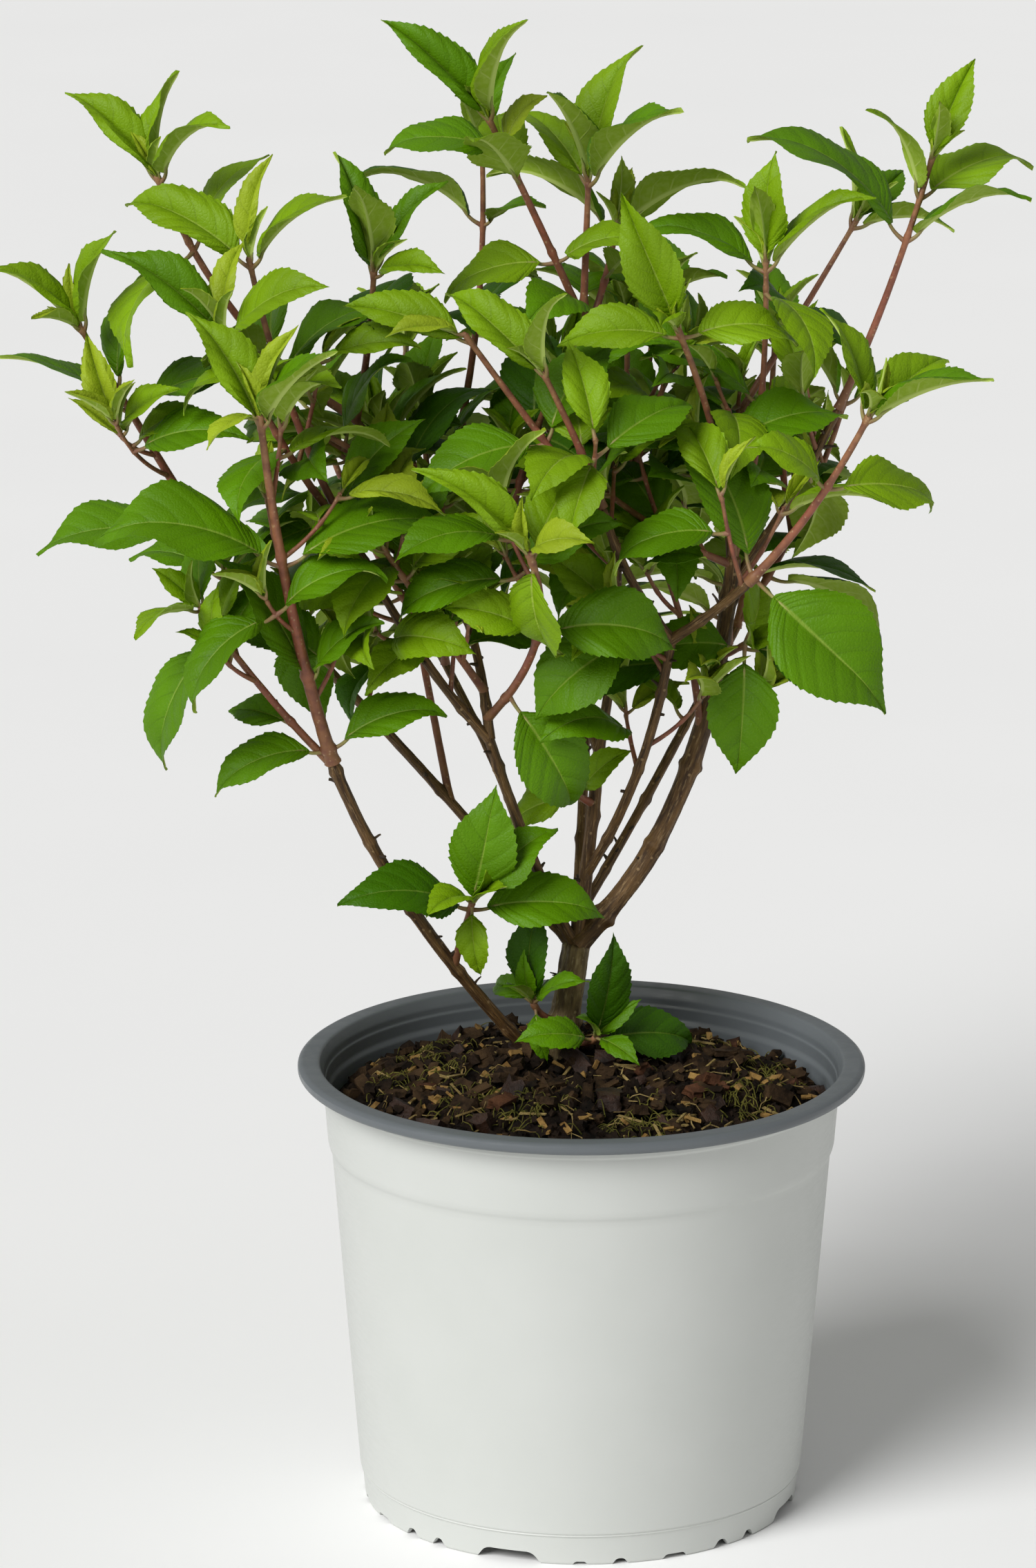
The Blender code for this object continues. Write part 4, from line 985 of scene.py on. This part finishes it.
twigs = {}
for parent, row in [*LIMBS.items(), *SHOOTS.items()]:
    chance = random.Random(parent + " twigs")
    for number in range(round((row["tip"] - row["foot"]).length / (TWIG_EVERY * MM)) + 2):
        share, turn, lean = chance.uniform(0.2, 0.96), chance.uniform(0, 360), chance.uniform(35, 75)
        length = chance.uniform(*TWIG_LENGTH) * MM
        foot = bezier(row, share)
        if not TWIG_HEIGHTS[0] < foot.z < TWIG_HEIGHTS[1]:
            continue
        heading = spread_out(row, share, turn, lean)[2]
        elbow = foot + heading * length * 0.55
        tip = foot + heading * length * 0.85 + UP * length * 0.3
        twig = dict(foot=foot, elbow=elbow, tip=tip, thick=TWIG_THICK)
        twig["pairs"] = regular(0.6, 0.94, 2, chance.uniform(0, 90), (46, 38), (66, 44))
        name = f"{parent} twig {number}"
        around = sleeve(twig, name, 5, 4)
        others = [tree for other, tree in sleeves.items() if other != parent] + grown
        if not near_crown(tip) or any(around.touches(tree) for tree in others):
            continue
        placed = leaves_of(name, twig, list(sleeves.values()) + grown)
        placed = [kept for kept in placed if near_crown(on_blade(kept[0], 1.0)[0])]
        if len(placed) < TWIG_FEWEST_LEAVES:
            continue
        twigs[name] = twig
        sleeves[name] = around
        grown += [tree for _, _, tree in placed]
        leaves += [leaf for leaf, _, _ in placed]
for number, row in enumerate(twigs.values()):
    line = along_curve(row, 2.0)
    skin(shoots, line, 8, shoot_size(row, line, number), by_share=True)
skin_of_shoots = young_bark("young_bark", "#825C3A", "#945440", "#96704A", "#6E4232", "#A98A66")
young_shoots = shoots.piece("young_shoots", [skin_of_shoots], 60)
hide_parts(*SHOOTS)

# The leaves: thin, matt and a little quilted, folded along the midrib, with sharp teeth that point
# forward and veins that arch from the midrib to them. The pale midrib stands out underneath.

# Half the blade's width along its length, as shares of the widest and of the whole
BLADE = (
    (0, 0.05), (0.04, 0.22), (0.10, 0.46), (0.18, 0.72), (0.28, 0.92), (0.38, 1.0),
    (0.48, 0.98), (0.58, 0.88), (0.68, 0.70), (0.77, 0.47), (0.85, 0.27), (0.92, 0.12), (1.0, 0.0),
)
ACROSS = (-1.0, -0.78, -0.45, -0.10, 0.0, 0.10, 0.45, 0.78, 1.0)
LEAF_SIZE = 50
TOOTH_STEP = 2.6
TOOTH = 0.95
SHEET = 0.14
VEIN_EVERY = 2
VEIN_RISE = 0.30
BASE_RUN = 0.07
TIP_LEAF = 17
TIP_STRETCH = 1.6
DROOP_FROM = 0.62
LOW_SHOOTS = ("soil", "low", "fork", "hanging")


def between(low, value, high):
    return max(low, min(high, value))


def blade_width(share):
    """Half the blade's width at this share of its length, as a share of the widest."""
    for (near, first), (far, last) in zip(BLADE, BLADE[1:]):
        if share <= far:
            return first + (last - first) * (share - near) / (far - near)
    return 0.0


def blade(pile, leaf, chance):
    """Adds one leaf's blade: two sheets of rows that follow the veins, meeting at a toothed edge."""
    if leaf["length"] < TIP_LEAF * MM:
        leaf["length"] *= TIP_STRETCH
        leaf["width"] *= TIP_STRETCH * 0.9
    size = leaf["length"] / (LEAF_SIZE * MM)
    full = min(1.0, size)
    # The upright leaves at a shoot's tip are narrow and folded, and bend less
    tip_like = between(0.0, (leaf["share"] - 0.86) / 0.08, 1.0)
    tip_like *= between(0.0, 1.3 - leaf["lean"] / math.radians(60), 1.0)
    if any(word in leaf["shoot"] for word in LOW_SHOOTS):
        tip_like = 0.0
    if "soil" in leaf["shoot"]:
        leaf["width"] *= 0.82
    leaf["bend"] *= 1 - 0.35 * tip_like
    rows = between(8, round(leaf["length"] / (TOOTH_STEP * MM) / 2) * 2, 24)
    half = leaf["width"] / 2 * (0.92 + 0.19 * min(1.0, size / 0.8)) * (1 - 0.14 * tip_like)
    side = leaf["along"].cross(leaf["upper"]).normalized()
    fold = math.radians(chance.uniform(9, 22) + 32 * tip_like + 20 * max(0.0, 1 - size / 0.75))
    # Two leaves of an upright pair leave each other room
    room = (leaf["length"] * 0.38 * math.sin(leaf["lean"]) + 3 * MM) / (half * 0.58)
    fold = min(fold, math.atan(room), math.radians(56))
    twist = math.radians(chance.uniform(-24, 24))
    sickle = chance.uniform(-0.07, 0.07)
    droop = chance.uniform(0.1, 1.1) * full
    wave, phase = chance.uniform(0.04, 0.14), chance.uniform(0, math.tau)
    # The rows lie a little closer at both ends
    edges = [0.6 * row / rows + 0.2 - 0.2 * math.cos(math.pi * row / rows) for row in range(rows + 1)]

    def spot(edge, s, lift, out=0.0):
        """A point: the edge's share of the length, how far across, its lift and how far past the edge."""
        wide = blade_width(edge)
        near = max(edge * 0.3, edge - VEIN_RISE * wide)
        share = near + (edge - near) * abs(s) ** 1.45
        middle, upper = on_blade(leaf, share * (1 + BASE_RUN) - BASE_RUN)
        turn = twist * share
        level = side * math.cos(turn) + upper * math.sin(turn)
        above = upper * math.cos(turn) - side * math.sin(turn)
        reach = half * wide * s + math.copysign(out, s)
        height = abs(reach) * math.tan(fold) * (1 - 0.62 * s * s)
        height -= leaf["length"] * droop * max(0.0, share - DROOP_FROM) ** 2 * 0.9
        height += math.sin(edge * 11 + phase + (1.4 if s > 0 else 0)) * wave * half * s * s
        bow = side * (leaf["length"] * sickle * share * share)
        return middle + bow + level * reach * math.cos(fold) + above * (height + lift)

    points, faces, places, slots = [], [], [], []

    def put(point):
        points.append(point)
        return len(points) - 1

    def cover(corners, marks, slot):
        """Adds a face of the upper sheet, or of the lower one turned over on the same diagonal."""
        if slot:
            corners, marks = corners[:1] + corners[:0:-1], marks[:1] + marks[:0:-1]
        faces.append(tuple(corners))
        places.append(tuple((0.5 + 0.5 * s, v) for s, v in marks))
        slots.append(slot)

    sheets, teeth = ([], []), ([], [])
    for number, (edge, ahead) in enumerate(zip(edges, edges[1:])):
        vein = (-0.12 if number % VEIN_EVERY == 0 else 0.07) * MM * full * (1 - 0.4 * edge)
        rib = (1.0 - 0.75 * edge) * MM * full
        tooth = TOOTH * chance.uniform(0.7, 1.25) * MM * min(1.0, 0.35 + 0.65 * size)
        tooth *= min(1.0, 0.4 + 4 * edge) * min(1.0, 3 * (1 - edge))
        for slot, thick in enumerate((SHEET * MM, -SHEET * MM)):
            row = []
            for s in ACROSS:
                lift = (-0.30 * MM - rib * slot) if s == 0 else vein * (0.4 if abs(s) < 0.2 else 1.0)
                row.append(put(spot(edge, s, lift + thick * (0.6 if abs(s) == 1 else 1.0))))
            sheets[slot].append(row)
            point_at = edge + (ahead - edge) * 0.8
            teeth[slot].append([put(spot(point_at, s, thick * 0.4, tooth)) for s in (-1.0, 1.0)])
    tip = put(spot(1.0, 0.0, 0.0))
    for slot, sheet in enumerate(sheets):
        for number, (row, ahead) in enumerate(zip(sheet, sheet[1:] + [[tip] * len(ACROSS)])):
            v, w = number / VEIN_EVERY, (number + 1) / VEIN_EVERY
            for step, (s, t) in enumerate(zip(ACROSS, ACROSS[1:])):
                near, far = row[step:step + 2], ahead[step:step + 2]
                if tip in far:
                    cover([*near, tip], [(s, v), (t, v), ((s + t) / 2, w)], slot)
                else:
                    cover([*near, far[1], far[0]], [(s, v), (t, v), (t, w), (s, w)], slot)
            left, right = teeth[slot][number]
            cover([row[0], ahead[0], left], [(-1, v), (-1, w), (-1, (v + w) / 2)], slot)
            cover([row[-1], right, ahead[-1]], [(1, v), (1, (v + w) / 2), (1, w)], slot)
    # The thin rim joins the two sheets round the teeth, and a cap closes them inside the petiole
    for end, way in ((0, -1), (-1, 1)):
        upper, lower = (
            [part[end] for pair in zip(sheet, points_out) for part in pair] + [tip]
            for sheet, points_out in zip(sheets, teeth)
        )
        for number, corners in enumerate(zip(upper, lower, lower[1:], upper[1:])):
            if tip in corners:
                corners = corners[:3]
            faces.append(corners[::way])
            places.append(((0.5 + 0.5 * way, number // 2 / VEIN_EVERY),) * len(corners))
            slots.append(0)
    ring = sheets[0][0][::-1] + sheets[1][0]
    faces.append(ring)
    places.append(((0.5, 0.0),) * len(ring))
    slots.append(1)
    pile.take(points, faces, places, slots)


def veins(material, midrib, vein, fading):
    """The midrib, the side veins, both together, and how far a point lies from a side vein.

    Each is drawn from its distance: where it starts to fade, where it ends, its most and its least."""
    across, along = pattern(material)
    centred = add(material, "Math", {0: across, 1: 0.5}, operation="SUBTRACT")
    aside = add(material, "Math", {0: centred}, operation="ABSOLUTE")
    gap = add(material, "Math", {0: along, 1: 0.5}, operation="PINGPONG")
    rib, line, fade = (
        add(material, "MapRange", {0: distance, 1: near, 2: far, 3: most, 4: least})
        for distance, (near, far, most, least) in ((aside, midrib), (gap, vein), (aside, fading))
    )
    sides = add(material, "Math", {0: line, 1: fade}, operation="MULTIPLY")
    return rib, sides, add(material, "Math", {0: sides, 1: rib}, operation="MAXIMUM"), gap


def leaf_upper(name, base, pale):
    """A leaf's upper side: matt green with a pale midrib, its veins sunk with painted shade in them, puckered
    between.
    """
    material, shader, place = surface(name, base, 0.5, IOR=1.45, Specular_IOR_Level=0.21)
    midrib, sides, both, gap = veins(
        material, (0.008, 0.026, 0.5, 0.0), (0.01, 0.06, 1.0, 0.0), (0.1, 0.5, 0.42, 0.08)
    )
    # Broad patches, a few centimetres across, so that no two leaves are alike
    painted_groove_shade, dark = ([part * share for part in linear(base)[:3]] + [1] for share in (0.5, 0.72))
    patch = add(material, "TexNoise", {"Vector": place, "Scale": 26.0, "Detail": 3.0})
    spread = add(material, "MapRange", {0: patch, 1: 0.35, 2: 0.68})
    mottled = add(material, "Mix", {0: spread, 6: dark, 7: linear(base)}, data_type="RGBA")
    # Painted shade: the sunk side veins are drawn at half the green, the shade in their grooves
    groove_shaded = add(material, "Mix", {0: sides, 6: mottled, 7: painted_groove_shade}, data_type="RGBA")
    veined = add(material, "Mix", {0: midrib, 6: groove_shaded, 7: linear(pale)}, data_type="RGBA")
    # Pale glands under a millimetre apart, and the net of fine veins, drawn coarser so that it shows
    glands = add(material, "TexVoronoi", {"Vector": place, "Scale": 1100.0})
    spots = add(material, "MapRange", {0: glands, 1: 0.30, 2: 0.12, 3: 0.0, 4: 0.12})
    spotted = add(material, "Mix", {0: spots, 6: veined, 7: linear(pale)}, data_type="RGBA")
    net = add(material, "TexVoronoi", {"Vector": place, "Scale": 620.0}, feature="DISTANCE_TO_EDGE")
    raised = add(material, "MapRange", {0: net, 1: 0.0, 2: 0.25})
    sunk = add(material, "Math", {0: raised, 1: both}, operation="SUBTRACT")
    fine = add(material, "Bump", {"Strength": 0.3, "Distance": 0.0003, "Height": sunk})
    # The blade swells between its veins
    swell = add(material, "MapRange", {0: gap, 1: 0.0, 2: 0.32}, interpolation_type="SMOOTHSTEP")
    swollen = {"Strength": 0.4, "Distance": 0.0006, "Height": swell, "Normal": fine}
    return finished(material, shader, spotted, add(material, "Bump", swollen))


def leaf_under(name, base, pale):
    """A leaf's underside: pale and dull, with its veins standing out."""
    material, shader, place = surface(name, base, 0.7, IOR=1.4, Specular_IOR_Level=0.16)
    *_, both, _ = veins(material, (0.03, 0.055, 1.0, 0.0), (0.02, 0.07, 0.8, 0.0), (0.1, 0.5, 0.7, 0.2))
    net = add(material, "TexNoise", {"Vector": place, "Scale": 420.0, "Detail": 4.0})
    spread = add(material, "MapRange", {0: net, 1: 0.4, 2: 0.7, 3: 0.0, 4: 0.3})
    marks = add(material, "Math", {0: both, 1: spread}, operation="MAXIMUM")
    colour = add(material, "Mix", {0: marks, 6: linear(base), 7: linear(pale)}, data_type="RGBA")
    relief = add(material, "Bump", {"Strength": 0.5, "Distance": 0.0004, "Height": marks})
    return finished(material, shader, colour, relief)


GREENS = {
    "young": ("#98AE22", "#C0CE6A"),
    "bright": ("#7BA00A", "#ACBE56"),
    "middle": ("#588600", "#93A944"),
    "painted_shade_deep": ("#3A6600", "#7C9438"),
}
# Painted shade: leaves on shoots inside the crown, at its back and low down take the next darker green, as
# they stand in the crown's shadow. The darkest green is only this painted shade.
PAINTED_SHADE_SHOOTS = ("inner", "soil", "low", "fork", "hanging", "back")
underside = leaf_under("leaf_underside", "#8AA62E", "#B4C66A")
piles = {green: Pile() for green in GREENS}
for number, leaf in enumerate(leaves):
    chance = random.Random(number)
    age = leaf["length"] / (LEAF_SIZE * MM) + (1 - leaf["share"]) * 0.5 + chance.uniform(-0.15, 0.15)
    green = "young" if age < 0.72 else "bright" if age < 1.05 else "middle"
    if any(word in leaf["shoot"] for word in PAINTED_SHADE_SHOOTS):
        green = {"young": "bright", "bright": "middle", "middle": "painted_shade_deep"}[green]
    # Painted shade: the leaves by the compost, under the crown, are darker still
    if "soil" in leaf["shoot"]:
        green = "middle" if age < 0.8 else "painted_shade_deep"
    blade(piles[green], leaf, chance)
for green, pile in piles.items():
    foliage = pile.piece("leaves_" + green, [leaf_upper(green + "_leaf", *GREENS[green]), underside], 50)
    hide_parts(*SHOOTS)

# The petioles: short, grooved stalks that clasp the shoot and run on as the midrib, dull pink at the
# foot and green at the blade.


def petiole_skin(name, foot, tip):
    """A petiole's skin: smooth and a little glossy, its pink fading in mottles, with fine down."""
    material, shader, place = surface(name, foot, 0.5, IOR=1.45)
    mottle = add(material, "TexNoise", {"Vector": place, "Scale": 300.0, "Detail": 3.0})
    shifted = add(material, "Math", {0: mottle, 1: 0.5}, operation="SUBTRACT")
    amount = add(material, "Math", {0: pattern(material)[1], 1: shifted}, operation="ADD", use_clamp=True)
    colour = add(material, "Mix", {0: amount, 6: linear(foot), 7: linear(tip)}, data_type="RGBA")
    down = add(material, "TexNoise", {"Vector": place, "Scale": 2200.0, "Detail": 2.0})
    relief = add(material, "Bump", {"Strength": 0.4, "Distance": 0.0002, "Height": down})
    return finished(material, shader, colour, relief)


STALK_R = 0.72
STALK_FOOT = 0.55
STALK_STEPS = (0, 0.15, 0.3, 0.45, 0.6, 0.75, 0.9, 1.0)

stalks = Pile()
for leaf in leaves:
    run = on_blade(leaf, 0.0)[0] - leaf["root"]
    young = min(1.0, leaf["length"] / (40 * MM))
    sag = leaf["upper"] * leaf["petiole"] * 0.05
    line = []
    for t in STALK_STEPS:
        line.append(leaf["root"] + run * t - sag * math.sin(math.pi * t) * 2 - leaf["upper"] * 0.35 * MM * t)
    line.append(on_blade(leaf, 0.08)[0] - leaf["upper"] * 0.55 * MM)
    whole = length_of(line)

    def size(far, angle, whole=whole, young=young):
        share = far / whole
        thick = STALK_R + STALK_FOOT * math.exp(-share / 0.18)
        return thick * (0.55 + 0.45 * young) * (1 - 0.5 * max(0.0, share - 0.85) / 0.15) * MM

    skin(stalks, line, 8, size, by_share=True)
petioles = stalks.piece("petioles", [petiole_skin("petiole_skin", "#8A5F4A", "#8FA04C")], 60)
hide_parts(*SHOOTS)

# The studio: a plain pale floor, a broad soft sun from the left front, a weak lamp from the right,
# and a camera at the photograph's height and distance.

material, shader, place = surface("studio_floor", "#FAFAFA", 0.9)
dust = add(material, "TexNoise", {"Vector": place, "Scale": 4.0, "Detail": 3.0})
clouded = {0: dust, 6: linear("#FCFCFB"), 7: linear("#F8F8F7")}
feed(shader, "Base Color", add(material, "Mix", clouded, data_type="RGBA"))
deselect()
bpy.ops.mesh.primitive_plane_add(size=60)
floor = bpy.context.object
floor.name = "studio_floor"
floor.data.materials.append(material)

# Each light: where it stands, the way it shines, its energy, and its angle or its side
for name, kind, location, way, energy, measure, soft in (
    ("key_light", "SUN", (-1.5, -1.9, 2.1), (1.5, 1.75, -1.8), 3.0, "angle", math.radians(34)),
    ("fill_light", "AREA", (2.0, -1.2, 1.2), (-2.0, 1.2, -0.9), 2, "size", 1.6),
):
    deselect()
    bpy.ops.object.light_add(type=kind, location=location)
    light = bpy.context.object
    light.name = name
    light.data.energy = energy
    setattr(light.data, measure, soft)
    light.rotation_euler = Vector(way).to_track_quat("-Z", "Y").to_euler()
world = bpy.data.worlds.new("pale_studio")
world.use_nodes = True
world.node_tree.nodes["Background"].inputs["Color"].default_value = (1, 1, 1, 1)
world.node_tree.nodes["Background"].inputs["Strength"].default_value = 0.27
bpy.context.scene.world = world

CAMERA_DOWN = 14.95
CAMERA_TURN = 0.53
FOCAL_PIXELS = 10361
PHOTO_HEIGHT = 2271
bpy.ops.object.camera_add(
    location=(0, -2.775, 1.041), rotation=(math.radians(90 - CAMERA_DOWN), 0, math.radians(CAMERA_TURN))
)
camera = bpy.context.object
camera.data.sensor_fit = "VERTICAL"
camera.data.sensor_height = 36
camera.data.lens = FOCAL_PIXELS / PHOTO_HEIGHT * 36
camera.data.clip_end = 30
bpy.context.scene.camera = camera
bpy.context.scene.view_settings.view_transform = "Standard"
